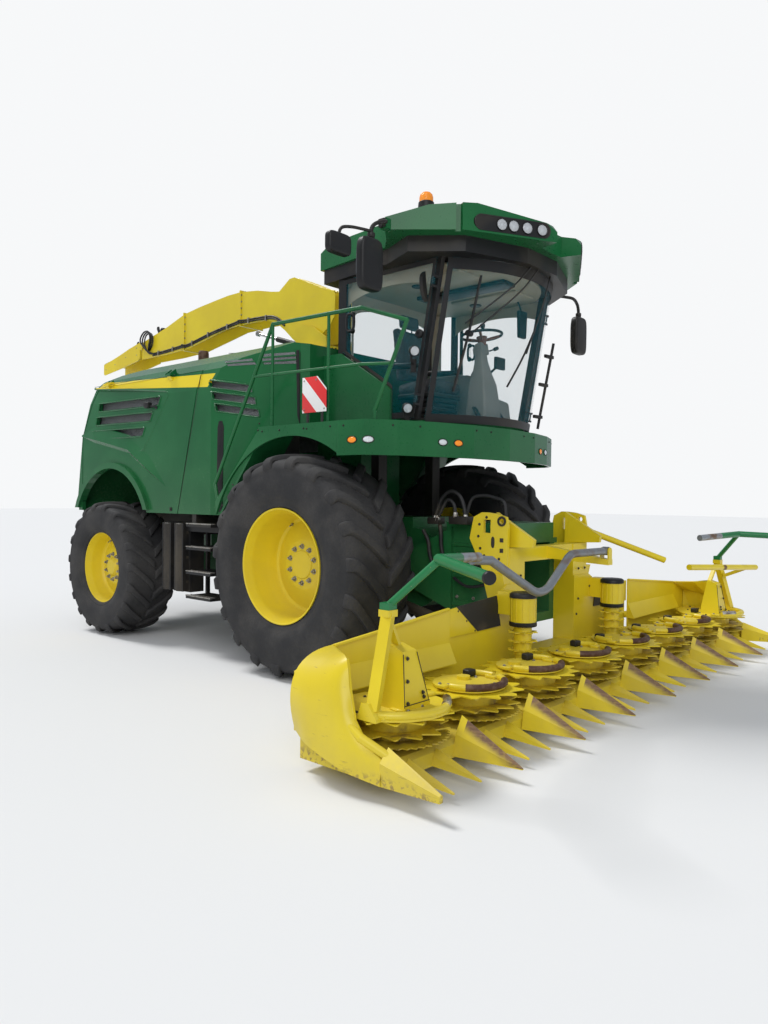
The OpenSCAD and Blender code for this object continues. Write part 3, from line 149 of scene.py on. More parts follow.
# %% Wires and finishes
class Wire:
    """A value that flows between shader nodes and can be used in arithmetic."""

    def __init__(self, finish, socket):
        self.finish, self.socket = finish, socket

    def _calc(self, operation, *values):
        return self.finish.add("ShaderNodeMath", {"operation": operation}, dict(enumerate(values)))

    def __add__(self, other):
        return self._calc("ADD", self, other)

    def __sub__(self, other):
        return self._calc("SUBTRACT", self, other)

    def __mul__(self, other):
        return self._calc("MULTIPLY", self, other)

    def __rsub__(self, other):
        return self._calc("SUBTRACT", other, self)

    def __truediv__(self, other):
        return self._calc("DIVIDE", self, other)

    def __gt__(self, other):
        return self._calc("GREATER_THAN", self, other)

    def __lt__(self, other):
        return self._calc("LESS_THAN", self, other)

    def __mod__(self, other):
        return self._calc("FLOORED_MODULO", self, other)

    __radd__ = __add__
    __rmul__ = __mul__

    def ramp(self, low, high):
        """0 below low, 1 above high, and smooth between."""
        return self.finish.add("ShaderNodeMapRange", {"interpolation_type": "SMOOTHSTEP"},
                               {"Value": self, "From Min": low, "From Max": high})


class Finish:
    """One material, built from wires."""

    def __init__(self, name):
        self.material = bpy.data.materials.new(name)
        self.material.use_nodes = True
        self.tree = self.material.node_tree
        self.shader = self.tree.nodes["Principled BSDF"]
        coordinates = self.tree.nodes.new("ShaderNodeTexCoord")
        self.spot = Wire(self, coordinates.outputs["Object"])
        self.x, self.y, self.z = self.split(self.spot)

    def split(self, vector):
        node = self.tree.nodes.new("ShaderNodeSeparateXYZ")
        self.tree.links.new(vector.socket, node.inputs[0])
        return [Wire(self, s) for s in node.outputs]

    def add(self, kind, settings, values, out=0):
        node = self.tree.nodes.new(kind)
        for name, value in settings.items():
            setattr(node, name, value)
        for name, value in values.items():
            self.join(node.inputs[name], value)
        return Wire(self, node.outputs[out])

    def join(self, socket, value):
        if isinstance(value, Wire):
            self.tree.links.new(value.socket, socket)
        else:
            socket.default_value = value

    def noise(self, scale, detail=3, rough=0.55, at=None):
        return self.add("ShaderNodeTexNoise", {},
                        {"Vector": at or self.spot, "Scale": scale, "Detail": detail, "Roughness": rough})

    def stretched(self, scale):
        return self.add("ShaderNodeMapping", {}, {"Vector": self.spot, "Scale": scale})

    def blend(self, amount, a, b):
        node = self.tree.nodes.new("ShaderNodeMix")
        node.data_type = "RGBA"
        self.join(node.inputs[0], amount)
        self.join(node.inputs[6], a if isinstance(a, Wire) else (*a, 1))
        self.join(node.inputs[7], b if isinstance(b, Wire) else (*b, 1))
        return Wire(self, node.outputs[2])

    def bump(self, height, strength, distance):
        return self.add("ShaderNodeBump", {}, {"Height": height, "Strength": strength, "Distance": distance})

    def set(self, **values):
        for name, value in values.items():
            socket = self.shader.inputs[name.replace("_", " ")]
            if isinstance(value, tuple) and len(value) == 3 and socket.type == "RGBA":
                value = (*value, 1)
            self.join(socket, value)
        return self.material


# %% [markdown]
# ## Painted steel
# A season in maize leaves a film of dust on every ledge and a browner one low down. The
# paint is glossy where it is clean, so dust both tints and dulls it. Fine waves of
# noise in the gloss keep large panels from looking like plastic film.

# %% Paints
DUST = (0.34, 0.27, 0.17)


def dusty(finish, paint, shade, level, gloss, chips=None, chip_level=0.71):
    """Paint with slow colour variation, dust that grows downwards, and worn specks."""
    slow = finish.noise(1.3, 4)
    fine = finish.noise(38, 3)
    grain = finish.noise(210, 2)
    up = finish.split(finish.add("ShaderNodeNewGeometry", {}, {}, 1))[2]
    low = 1 - finish.z.ramp(0.2, 2.4)
    film = (low * 0.55 + up.ramp(0.3, 0.95) * 0.35 + 0.12) * (slow.ramp(0.35, 0.75) * 0.7 + 0.3)
    film = film * (fine * 0.7 + 0.55) * level
    colour = finish.blend(slow.ramp(0.3, 0.7), paint, shade)
    colour = finish.blend(film, colour, DUST)
    if chips:
        worn = finish.noise(16, 6, 0.7).ramp(chip_level, chip_level + 0.04)
        colour = finish.blend(worn, colour, chips)
    finish.shader.inputs["Specular IOR Level"].default_value = 0.3
    return finish.set(Base_Color=colour, Roughness=film * 0.5 + (fine * 0.08 + gloss),
                      Normal=finish.bump(slow * 0.5 + grain * 0.02, 0.12, 0.01))


looks = {}
green = Finish("green_paint")
dusty(green, (0.004, 0.100, 0.028), (0.006, 0.130, 0.037), 0.20, 0.24)
green.shader.inputs["Coat Weight"].default_value = 0.10
green.shader.inputs["Coat Roughness"].default_value = 0.12
yellow = Finish("yellow_paint")
dusty(yellow, (0.80, 0.615, 0.016), (0.74, 0.56, 0.014), 0.30, 0.28, (0.16, 0.075, 0.03), 0.75)
black_paint = Finish("black_paint")
dusty(black_paint, (0.010, 0.010, 0.011), (0.016, 0.016, 0.017), 0.35, 0.38)
grey_paint = Finish("grey_paint")
dusty(grey_paint, (0.30, 0.32, 0.35), (0.24, 0.26, 0.29), 0.5, 0.34, (0.14, 0.07, 0.03), 0.72)
engine_grey = Finish("engine_grey")
dusty(engine_grey, (0.10, 0.10, 0.10), (0.16, 0.15, 0.14), 0.9, 0.5)
for slot, finish in (("green", green), ("yellow", yellow), ("dark_frame", black_paint),
                     ("grey_steel", grey_paint), ("engine_metal", engine_grey)):
    looks[slot] = finish.material

# %% [markdown]
# ## Rubber, plastic, glass and cloth
# Tyres are never black: dust lies in the treads and fades over the sidewalls. Moulded
# plastic has a fine even grain. The panes are blue-green, thin and nearly clear.

# %% Other finishes
rubber = Finish("tyre_rubber")
slow = rubber.noise(3.1, 4)
fine = rubber.noise(60, 4)
soil = (slow.ramp(0.35, 0.7) * 0.45 + 0.25) * (fine * 0.8 + 0.5)
rubber.shader.inputs["Specular IOR Level"].default_value = 0.25
rubber.set(Base_Color=rubber.blend(soil, (0.012, 0.013, 0.016), (0.078, 0.074, 0.070)),
           Roughness=soil * 0.3 + 0.62, Normal=rubber.bump(fine * 0.6 + slow, 0.25, 0.006))

plastic = Finish("black_plastic")
slow = plastic.noise(2.0, 3)
grain = plastic.noise(420, 2)
film = slow.ramp(0.4, 0.75) * 0.08 + 0.01
plastic.shader.inputs["Specular IOR Level"].default_value = 0.3
plastic.set(Base_Color=plastic.blend(film, (0.009, 0.010, 0.012), DUST),
            Roughness=film + 0.42, Normal=plastic.bump(grain, 0.15, 0.0008))

beige = Finish("beige_trim")
slow = beige.noise(2.4, 3)
grain = beige.noise(380, 2)
beige.set(Base_Color=beige.blend(slow, (0.36, 0.31, 0.22), (0.44, 0.385, 0.28)),
          Roughness=grain * 0.1 + 0.5, Normal=beige.bump(grain, 0.2, 0.0008))

glass = Finish("tinted_glass")
smear = glass.noise(2.2, 4)
glass.set(Base_Color=glass.blend(smear.ramp(0.45, 0.8), (0.010, 0.25, 0.31), (0.04, 0.32, 0.37)),
          Roughness=smear * 0.06 + 0.03, Alpha=smear.ramp(0.5, 0.8) * 0.02 + 0.080)
glass.shader.inputs["Specular IOR Level"].default_value = 0.5

lamp_lens = Finish("lamp_lens")
ribs = lamp_lens.noise(90, 2)
lamp_lens.set(Base_Color=lamp_lens.blend(ribs, (0.82, 0.86, 0.88), (0.62, 0.68, 0.72)), Roughness=0.12)

cloth = Finish("seat_cloth")
weave = cloth.add("ShaderNodeTexWave", {}, {"Vector": cloth.spot, "Scale": 260, "Distortion": 2})
cloth.set(Base_Color=cloth.blend(weave * 0.4 + cloth.noise(9) * 0.5, (0.045, 0.045, 0.047),
                                 (0.10, 0.10, 0.105)), Roughness=0.9, Normal=cloth.bump(weave, 0.4, 0.002))

chrome = Finish("plated_rod")
haze = chrome.noise(30, 3)
chrome.set(Base_Color=chrome.blend(haze, (0.62, 0.62, 0.63), (0.50, 0.49, 0.48)),
           Metallic=1.0, Roughness=haze * 0.2 + 0.15)
looks.update(black_plastic=plastic.material, tyre=rubber.material, trim_plastic=beige.material,
             glass=glass.material, lamp=lamp_lens.material, seat_fabric=cloth.material,
             rod_steel=chrome.material)

ground = Finish("floor_paint")
ground.set(Base_Color=ground.blend(ground.noise(0.8) * 0.2, (0.74, 0.74, 0.73), (0.78, 0.78, 0.77)),
           Roughness=0.85)
floor.data.materials.append(ground.material)


def paint(piece, material):
    piece.data.materials.clear()
    piece.data.materials.append(material)
    return piece


for part in frame["record"]["subparts"]:
    paint(nodes[part["node"]], looks[part["material_slot"]])
print("finishes", len(looks))

# %% [markdown]
# ## Ways of making a piece
# Most parts of a farm machine are cut plate, bent tube, turned discs and bolts, so four
# ways of making a mesh cover nearly all of it. Each starts from a primitive and shapes it
# with the same operators a modeller would use by hand.

# %% Finish a piece
TOUCHING = 0.00002
SHARP, SMOOTH = 32, 38


def alone(piece):
    bpy.ops.object.select_all(action="DESELECT")
    piece.select_set(True)
    bpy.context.view_layer.objects.active = piece


def applied(piece, kind, **settings):
    """A modifier with these settings is put on a piece and applied at once."""
    alone(piece)
    change = piece.modifiers.new("change", kind)
    for setting, value in settings.items():
        setattr(change, setting, value)
    bpy.ops.object.modifier_apply(modifier=change.name)
    return piece


def rounded(piece, width, segments=2, angle=SHARP):
    """Soft edges: a bevel wherever two faces meet at more than an angle."""
    return applied(piece, "BEVEL", width=width, segments=segments, limit_method="ANGLE",
                   angle_limit=math.radians(angle))


def done(piece, name, body, slot, material=None, smooth=SMOOTH):
    """A piece, or a list of pieces joined into one, gets a name, a finish and a body to ride on."""
    if isinstance(piece, list):
        piece = joined(piece)
    alone(piece)
    bpy.ops.object.transform_apply(location=True, rotation=True, scale=True)
    bpy.ops.object.shade_smooth_by_angle(angle=math.radians(smooth))
    piece.name = name
    paint(piece, material or looks[slot])
    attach(piece, body)
    piece.select_set(False)
    return piece


def joined(pieces):
    bpy.ops.object.select_all(action="DESELECT")
    for piece in pieces:
        piece.select_set(True)
    bpy.context.view_layer.objects.active = pieces[0]
    bpy.ops.object.join()
    return bpy.context.object


def outward(piece):
    """Merge doubled points and turn every face outwards."""
    alone(piece)
    bpy.ops.object.mode_set(mode="EDIT")
    bpy.ops.mesh.select_all(action="SELECT")
    bpy.ops.mesh.remove_doubles(threshold=TOUCHING)
    bpy.ops.mesh.normals_make_consistent(inside=False)
    bpy.ops.object.mode_set(mode="OBJECT")
    return piece


# %% [markdown]
# A plate starts as a disc with one corner for each corner of its outline. The corners
# move to the outline and the face is pulled to the plate's thickness. A turned piece is
# an outline spun round an axis. A pipe is a curve with a round section. A bent bar is a
# cube cut into slices, each slice moved by a rule.

# %% Plates, turned pieces, pipes and bars
AXES = {"x": Vector((1, 0, 0)), "y": Vector((0, 1, 0)), "z": Vector((0, 0, 1))}


def plate(across, outline, low, high, soft=0.0, segments=2, angle=SHARP):
    """A flat plate: its outline lies across an axis, it fills low to high along it, and has soft edges."""
    bpy.ops.mesh.primitive_circle_add(vertices=len(outline), fill_type="NGON")
    piece = bpy.context.object
    for corner, (u, v) in zip(piece.data.vertices, outline):
        spots = {"x": (low, u, v), "y": (u, low, v), "z": (u, v, low)}
        corner.co = place(*spots[across])
    bpy.ops.object.mode_set(mode="EDIT")
    bpy.ops.mesh.select_all(action="SELECT")
    bpy.ops.mesh.extrude_region_move(TRANSFORM_OT_translate={"value": AXES[across] * (high - low)})
    bpy.ops.object.mode_set(mode="OBJECT")
    outward(piece)
    return rounded(piece, soft, segments, angle) if soft else piece


def turned(profile, centre, axis="x", steps=48):
    """A piece of revolution: its closed profile is given as (along the axis, radius)."""
    main = AXES[axis]
    side = AXES["z"] if axis != "z" else AXES["x"]
    bpy.ops.mesh.primitive_circle_add(vertices=len(profile), fill_type="NOTHING")
    piece = bpy.context.object
    for corner, (along, radius) in zip(piece.data.vertices, profile):
        corner.co = main * along + side * radius
    bpy.ops.object.mode_set(mode="EDIT")
    bpy.ops.mesh.select_all(action="SELECT")
    bpy.ops.mesh.spin(steps=steps, angle=2 * math.pi, center=(0, 0, 0), axis=main)
    bpy.ops.object.mode_set(mode="OBJECT")
    outward(piece)
    piece.data.transform(Matrix.Translation(centre))
    return piece


def soft_route(points, steps=6):
    """A smooth line through points."""
    points = [Vector(p) for p in points]
    ends = [2 * points[0] - points[1]] + points + [2 * points[-1] - points[-2]]
    line = []
    for a, b, c, d in zip(ends, ends[1:], ends[2:], ends[3:]):
        for k in range(steps):
            t = k / steps
            line.append(0.5 * (2 * b + (c - a) * t + (2 * a - 5 * b + 4 * c - d) * t * t
                               + (3 * b - a - 3 * c + d) * t ** 3))
    return line + [points[-1]]


def pipe(points, radius, sides=12, soft=True):
    """A round tube along points measured from the front axle."""
    line = [place(*p) for p in (soft_route(points) if soft else points)]
    curve = bpy.data.curves.new("pipe", "CURVE")
    curve.dimensions = "3D"
    run = curve.splines.new("POLY")
    run.points.add(len(line) - 1)
    for point, spot in zip(run.points, line):
        point.co = (*spot, 1)
    curve.bevel_depth, curve.bevel_resolution, curve.use_fill_caps = radius, max(1, sides // 4 - 1), True
    piece = bpy.data.objects.new("pipe", curve)
    bpy.context.scene.collection.objects.link(piece)
    alone(piece)
    bpy.ops.object.convert(target="MESH")
    return bpy.context.object


def bent_bar(slices, rule):
    """A cube cut into slices along X; rule gives each corner's place from (0 to 1, -1 or 1, 0 or 1)."""
    bpy.ops.mesh.primitive_cube_add(size=1, location=(0, 0, 0))
    piece = bpy.context.object
    bpy.ops.object.mode_set(mode="EDIT")
    cut = bmesh.from_edit_mesh(piece.data)
    for edge in cut.edges:
        a, b = edge.verts
        edge.select_set(abs(a.co.x - b.co.x) > 0.5)
    bmesh.update_edit_mesh(piece.data)
    bpy.ops.mesh.subdivide(number_cuts=slices - 1)
    bpy.ops.object.mode_set(mode="OBJECT")
    for corner in piece.data.vertices:
        corner.co = rule(corner.co.x + 0.5, corner.co.y * 2, corner.co.z + 0.5)
    return piece


def copied(model, moves):
    """Copies of a model, each with its own mesh, joined into one piece. The model goes away."""
    pieces = []
    for move in moves:
        mesh = model.data.copy()
        mesh.transform(move)
        copy = bpy.data.objects.new(model.name, mesh)
        bpy.context.scene.collection.objects.link(copy)
        pieces.append(copy)
    bpy.data.objects.remove(model)
    return joined(pieces)


def facing(spot, toward):
    """A move that stands a piece on a spot with its Z along toward."""
    return Matrix.Translation(spot) @ Vector(toward).to_track_quat("Z", "Y").to_matrix().to_4x4()


def stood(profile, spot, toward, steps=16):
    """A turned piece that stands on a spot with its axis along toward."""
    piece = turned(profile, ORIGIN, "z", steps)
    piece.data.transform(facing(spot, toward))
    return piece


def slab(across, wide, high, span, soft=0.0, segments=2):
    """A rectangular plate: it spans an axis and is wide and high across it."""
    (a, b), (c, d) = wide, high
    return plate(across, [(a, c), (b, c), (b, d), (a, d)], *span, soft, segments)


def circle(count, offset=0.0):
    """Cosine and sine of evenly spaced turns."""
    turns = [2 * math.pi * (k + offset) / count for k in range(count)]
    return [(math.cos(turn), math.sin(turn)) for turn in turns]


def soft_square(count, power, offset=0.5):
    """A square from -1 to 1 drawn as one soft closed curve: a low power makes its corners tight."""
    return [(math.copysign(abs(c) ** power, c), math.copysign(abs(s) ** power, s))
            for c, s in circle(count, offset)]


def along_sides(line, shares, closed=True):
    """Points on the sides of a line of points, at the same shares of every side."""
    ends = line[1:] + line[:1] if closed else line[1:]
    return [(a[0] + (b[0] - a[0]) * t, a[1] + (b[1] - a[1]) * t) for a, b in zip(line, ends) for t in shares]


def hex_head(radius, height, shank=0.0):
    """One bolt head with its washer, standing on Z = 0."""
    bpy.ops.mesh.primitive_cylinder_add(vertices=6, radius=radius, depth=height,
                                        location=(0, 0, height * 0.6))
    head = rounded(bpy.context.object, radius * 0.14, 1)
    bpy.ops.mesh.primitive_cylinder_add(vertices=18, radius=radius * 1.35, depth=height * 0.3,
                                        location=(0, 0, height * 0.15 - 0.001))
    washer = rounded(bpy.context.object, radius * 0.08, 1)
    parts = [head, washer]
    if shank:
        bpy.ops.mesh.primitive_cylinder_add(vertices=12, radius=radius * 0.55, depth=shank,
                                            location=(0, 0, height * 1.1 + shank / 2 - 0.002))
        parts.append(rounded(bpy.context.object, radius * 0.12, 1))
    for part in parts:
        alone(part)
        bpy.ops.object.transform_apply(location=True, rotation=True, scale=True)
    return joined(parts)


def bolts(name, spots, radius, body, slot, material=None):
    """Bolt heads at spots, each spot with the way that it faces."""
    model = hex_head(radius, radius * 0.9)
    return done(copied(model, [facing(place(*spot), toward) for spot, toward in spots]),
                name, body, slot, material)


# %% [markdown]
# ## Finishes that only the small pieces need
# Zinc-plated bolts, orange and clear lenses, lamp reflectors, mirror glass, hose rubber,
# wire mesh and the red and white warning board each get their own recipe.

# %% Small finishes
zinc = Finish("zinc_plate")
stain = zinc.noise(60, 4)
zinc.set(Base_Color=zinc.blend(stain.ramp(0.4, 0.7), (0.42, 0.41, 0.38), (0.17, 0.13, 0.09)),
         Metallic=0.85, Roughness=stain * 0.35 + 0.28)
PLATED = ("rod_steel", zinc.material)

amber = Finish("amber_lens")
flute = amber.add("ShaderNodeTexWave", {"bands_direction": "Z"}, {"Vector": amber.spot, "Scale": 60})
amber.set(Base_Color=amber.blend(flute, (0.95, 0.24, 0.01), (0.98, 0.36, 0.03)), Roughness=0.16,
          Normal=amber.bump(flute, 0.3, 0.002))
amber.shader.inputs["Emission Color"].default_value = (1.0, 0.28, 0.02, 1)
amber.shader.inputs["Emission Strength"].default_value = 0.12

reflector = Finish("lamp_reflector")
facets = reflector.add("ShaderNodeTexVoronoi", {}, {"Vector": reflector.spot, "Scale": 60})
reflector.set(Base_Color=reflector.blend(facets, (0.88, 0.90, 0.92), (0.55, 0.58, 0.62)), Metallic=0.55,
              Roughness=facets * 0.2 + 0.08, Normal=reflector.bump(facets, 0.5, 0.003))

mirror_glass = Finish("mirror_glass")
mirror_glass.set(Base_Color=mirror_glass.blend(mirror_glass.noise(8), (0.70, 0.74, 0.78),
                                               (0.62, 0.66, 0.70)), Metallic=1.0, Roughness=0.04)

hose_rubber = Finish("hose_rubber")
braid = hose_rubber.add("ShaderNodeTexWave", {},
                        {"Vector": hose_rubber.spot, "Scale": 190, "Distortion": 1.5})
hose_rubber.set(Base_Color=hose_rubber.blend(hose_rubber.noise(5).ramp(0.5, 0.8) * 0.25,
                                             (0.016, 0.016, 0.017), DUST), Roughness=0.58,
                Normal=hose_rubber.bump(braid, 0.25, 0.001))
RUBBER = ("black_plastic", hose_rubber.material)

wire = Finish("wire_mesh")
hole = (wire.y * 160 + wire.z * 160) % 1.0
hole_two = (wire.y * 160 - wire.z * 160) % 1.0
strand = (hole > 0.72) + (hole_two > 0.72)
strand = wire.add("ShaderNodeClamp", {}, {"Value": strand})
# The gaps between strands are painted near-black: painted shade of the dark space behind the mesh.
wire.set(Base_Color=wire.blend(strand, (0.018, 0.019, 0.020), (0.36, 0.37, 0.38)), Metallic=0.3,
         Roughness=0.5, Normal=wire.bump(strand, 0.5, 0.002))

board = Finish("warning_board")
stripe = ((board.z - board.y) / 0.30 + 0.30) % 1.0
board.set(Base_Color=board.blend(stripe > 0.5, (0.72, 0.03, 0.03), (0.82, 0.82, 0.80)),
          Roughness=board.noise(30) * 0.2 + 0.3)

worn_steel = Finish("worn_steel")
scuff = worn_steel.noise(24, 5, 0.65)
worn_steel.set(Base_Color=worn_steel.blend(scuff.ramp(0.4, 0.65), (0.070, 0.027, 0.014),
                                           (0.14, 0.080, 0.050)), Metallic=0.2, Roughness=scuff * 0.3 + 0.45,
               Normal=worn_steel.bump(scuff, 0.25, 0.002))

# %% [markdown]
# ## Tyres
# A radial drive tyre has a smooth swollen sidewall and slanted lugs that meet near the
# middle and wrap down over the shoulder. The carcass is a turned piece, and one lug is a
# bent bar whose slices follow the crown, copied round both halves.

# %% Tyre builder
def tyre_body(radius, width, rim):
    """Half profile of a tyre from its bead to its crown, mirrored to a closed outline."""
    h, t = width / 2, radius - rim
    half = [(h * 0.80, rim - 0.012), (h * 0.865, rim + 0.006), (h * 0.89, rim + t * 0.05),
            (h * 0.885, rim + t * 0.075), (h * 0.93, rim + t * 0.12), (h * 0.965, rim + t * 0.22),
            (h * 0.972, rim + t * 0.235), (h * 0.985, rim + t * 0.36), (h * 0.992, rim + t * 0.48),
            (h * 0.985, rim + t * 0.60), (h * 0.972, rim + t * 0.68), (h * 0.975, rim + t * 0.70),
            (h * 0.935, rim + t * 0.79), (h * 0.86, rim + t * 0.85), (h * 0.70, rim + t * 0.885),
            (h * 0.35, rim + t * 0.905)]
    return half + [(-a, r) for a, r in reversed(half)]


def lug_rule(radius, width, rim, sign):
    """Where a corner of one lug lies: across the tread, round it and out from the axle."""
    h, t = width / 2, radius - rim
    across = [0.02, 0.16, 0.32, 0.48, 0.63, 0.76, 0.87, 0.945, 0.985, 0.992]
    top = [0.994, 0.996, 0.993, 0.988, 0.98, 0.967, 0.94, 0.885, 0.81, 0.735]
    spread = [0.052, 0.050, 0.048, 0.046, 0.046, 0.047, 0.049, 0.052, 0.055, 0.056]

    def rule(u, side, level):
        k = round(u * (len(across) - 1))
        reach = across[k] * h
        round_by = min(reach, h * 0.90) * 0.92 + spread[k] * width / 0.8 * side * (1.0 if level else 1.32)
        out = rim + t * top[k] if level else min(rim + t * 0.86, rim + t * (top[k] - 0.05))
        if level == 0 and k > 6:
            reach *= 0.96
        angle = round_by / radius
        return Vector((sign * reach, math.sin(angle) * out, math.cos(angle) * out))
    return rule, len(across) - 1


def make_tyre(name, centre, radius, width, rim, body):
    carcass = turned(tyre_body(radius, width, rim), centre, "x", 96)
    parts = [carcass]
    for sign in (1, -1):
        rule, slices = lug_rule(radius, width, rim, sign)
        lug = rounded(outward(bent_bar(slices, rule)), 0.007, 2, 40)
        half_step = 0.5 if sign < 0 else 0
        turns = [Matrix.Translation(centre) @ Matrix.Rotation((k + half_step) * 2 * math.pi / LUGS, 4, "X")
                 for k in range(LUGS)]
        parts.append(copied(lug, turns))
    return done(parts, name, body, "tyre", smooth=50)


LUGS = 19
FRONT = place(1.25, 0, 1.0)
REAR = place(1.31, 3.2, 0.77)
for side, sign in both:
    flip = Vector((sign, 1, 1))
    for end, spot, radius, width, rim in (("front", FRONT, 1.0, 0.79, 0.515),
                                          ("rear", REAR, 0.766, 0.598, 0.415)):
        tread = make_tyre("tread_%s_%s" % (end, side), spot * flip, radius, width, rim,
                          "%s_wheel_%s" % (end, side))
        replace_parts(tread, "tyre_%s_%s" % (end, side))

# %% [markdown]
# ## Rims
# A rim is a pressed barrel with a rolled lip, and its disc rises in a cone from the
# barrel to a flat face round the hub. That face carries a ring of ten plated nuts on
# long studs.

# %% Rims, nuts and valves
front_rim = [(0.350, 0.513), (0.352, 0.506), (0.345, 0.497), (0.322, 0.490), (0.285, 0.474), (0.255, 0.466),
             (0.120, 0.458), (0.105, 0.450), (0.040, 0.440), (0.015, 0.430), (0.002, 0.405), (0.006, 0.385),
             (0.030, 0.330), (0.055, 0.262), (0.070, 0.232), (0.076, 0.215), (0.078, 0.130), (0.088, 0.122),
             (0.090, 0.0), (0.040, 0.0), (0.030, 0.22), (-0.03, 0.40), (-0.05, 0.445), (-0.29, 0.452),
             (-0.33, 0.49), (-0.350, 0.505), (-0.348, 0.515), (-0.335, 0.512), (-0.31, 0.492),
             (-0.28, 0.478), (0.28, 0.478), (0.31, 0.492), (0.335, 0.512)]
rear_rim = [(0.235, 0.413), (0.237, 0.407), (0.230, 0.398), (0.205, 0.392), (0.175, 0.378), (0.150, 0.372),
            (0.060, 0.364), (0.035, 0.352), (0.022, 0.335), (0.026, 0.315), (0.062, 0.235), (0.082, 0.205),
            (0.090, 0.190), (0.092, 0.115), (0.100, 0.108), (0.125, 0.085), (0.130, 0.0), (0.03, 0.0),
            (0.02, 0.19), (-0.02, 0.34), (-0.04, 0.365), (-0.18, 0.375), (-0.215, 0.395), (-0.235, 0.405),
            (-0.233, 0.415), (-0.222, 0.412), (-0.20, 0.392), (-0.17, 0.380), (0.17, 0.380), (0.20, 0.392),
            (0.222, 0.412)]
NUTS = 10
for side, sign in both:
    flip = Vector((sign, 1, 1))
    for end, spot, profile, face, ring in (("front", FRONT, front_rim, 0.078, 0.166),
                                           ("rear", REAR, rear_rim, 0.092, 0.148)):
        wheel = "%s_wheel_%s" % (end, side)
        rim = turned([(sign * a, r) for a, r in profile], spot * flip, "x", 80)
        done(rim, "dish_%s_%s" % (end, side), wheel, "yellow", smooth=28)
        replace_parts(rim, "rim_%s_%s" % (end, side))
        nut = hex_head(0.0185, 0.020, 0.016)
        moves = [facing(spot * flip + Vector((sign * face, ring * c, ring * s)), (sign, 0, 0))
                 for c, s in circle(NUTS, 0.5)]
        done(copied(nut, moves), "nuts_%s_%s" % (end, side), wheel, "grey_steel", zinc.material)

# %% [markdown]
# An air valve stands in each dish, a short stem in a wider boot. It is small, but it
# turns with the wheel and breaks the even ring of nuts.

# %% Valves
for side, sign in both:
    for end, spot, reach, along in (("front", FRONT, 0.418, 0.006), ("rear", REAR, 0.345, 0.018)):
        at = spot * Vector((sign, 1, 1)) + Vector((sign * along, reach * 0.5, reach * 0.866))
        stem = stood([(0, 0), (0, 0.012), (0.03, 0.011), (0.034, 0.006), (0.062, 0.006), (0.066, 0.0)],
                     at, (sign, -0.25, -0.4))
        done(stem, "valve_%s_%s" % (end, side), "%s_wheel_%s" % (end, side), *PLATED)

# %% [markdown]
# ## The windscreen's border, wipers and grab rod
# The windscreen is part of a leaning drum, so anything on it is placed by an angle round
# the drum and a height. A black border of fired paint hides the glue line. One wiper
# hangs from the roof on a pair of parallel arms, and a smaller one beside it on one arm.

# %% Pieces on the windscreen
LEAN = math.radians(10)
SCREEN_RADIUS, SCREEN_MIDDLE, SCREEN_FOOT = 1.14, -0.17, 2.25


def on_screen(angle, height, out=0.0):
    """A point on the windscreen, seen from the front axle."""
    radius, turn = SCREEN_RADIUS + out, math.radians(angle)
    ahead = radius * math.cos(turn)
    up = (height - SCREEN_FOOT + ahead * math.sin(LEAN)) / math.cos(LEAN)
    y = SCREEN_MIDDLE - ahead * math.cos(LEAN) - up * math.sin(LEAN)
    return Vector((radius * math.sin(turn), y, height))


def screen_band(angles, heights, columns, rows, out=0.0015, thick=0.003):
    """A patch of thin sheet that lies on the windscreen."""
    bpy.ops.mesh.primitive_grid_add(x_subdivisions=columns, y_subdivisions=rows, size=1)
    patch = bpy.context.object
    for corner in patch.data.vertices:
        a, b = corner.co.x + 0.5, corner.co.y + 0.5
        corner.co = place(*on_screen(angles[0] + a * (angles[1] - angles[0]),
                                     heights[0] + b * (heights[1] - heights[0]), out))
    return outward(applied(patch, "SOLIDIFY", thickness=thick, offset=0))


borders = [screen_band((-45.5, 45.5), (3.545, 3.637), 40, 2),
           screen_band((-45.5, 45.5), (2.268, 2.340), 40, 2)]
for a, b in ((-45.8, -43.4), (43.4, 45.8)):
    borders.append(screen_band((a, b), (2.293, 3.637), 2, 20))
done(borders, "windscreen_border", "chassis", "black_plastic")

pivot, grip = on_screen(-1, 3.70, 0.03), on_screen(-32.5, 3.02, 0.035)
arms = [pipe([pivot + Vector((k * 0.035, 0, -k * 0.02)), on_screen(-14 + k * 2, 3.42 - k * 0.02, 0.055),
              grip + Vector((k * 0.035, -k * 0.02, 0.05 - k * 0.03))], 0.0075, 8) for k in (-1, 1)]
hub = turned([(-0.02, 0.0), (-0.02, 0.036), (0.018, 0.036), (0.026, 0.03), (0.026, 0.0)],
             place(*pivot), "y", 20)
head = turned([(-0.03, 0.0), (-0.03, 0.026), (0.025, 0.026), (0.03, 0.02), (0.03, 0.0)],
              place(*grip), "x", 16)
blade = pipe([on_screen(-31.0, 3.50, 0.026), on_screen(-32.5, 3.05, 0.026), on_screen(-35.6, 2.53, 0.026)],
             0.011, 8)
squeegee = pipe([on_screen(-31.0, 3.49, 0.010), on_screen(-32.5, 3.05, 0.010),
                 on_screen(-35.6, 2.54, 0.010)], 0.007, 6)
far_blade = pipe([on_screen(6, 3.16, 0.02), on_screen(-1, 2.88, 0.022), on_screen(-8.5, 2.61, 0.02)],
                 0.009, 8)
far_arm = pipe([on_screen(12, 3.64, 0.03), on_screen(7.5, 3.35, 0.036), on_screen(0.5, 2.92, 0.034)],
               0.007, 8)
done(arms + [hub, head, blade, squeegee, far_blade, far_arm],
     "wipers", "chassis", "black_plastic", smooth=50)

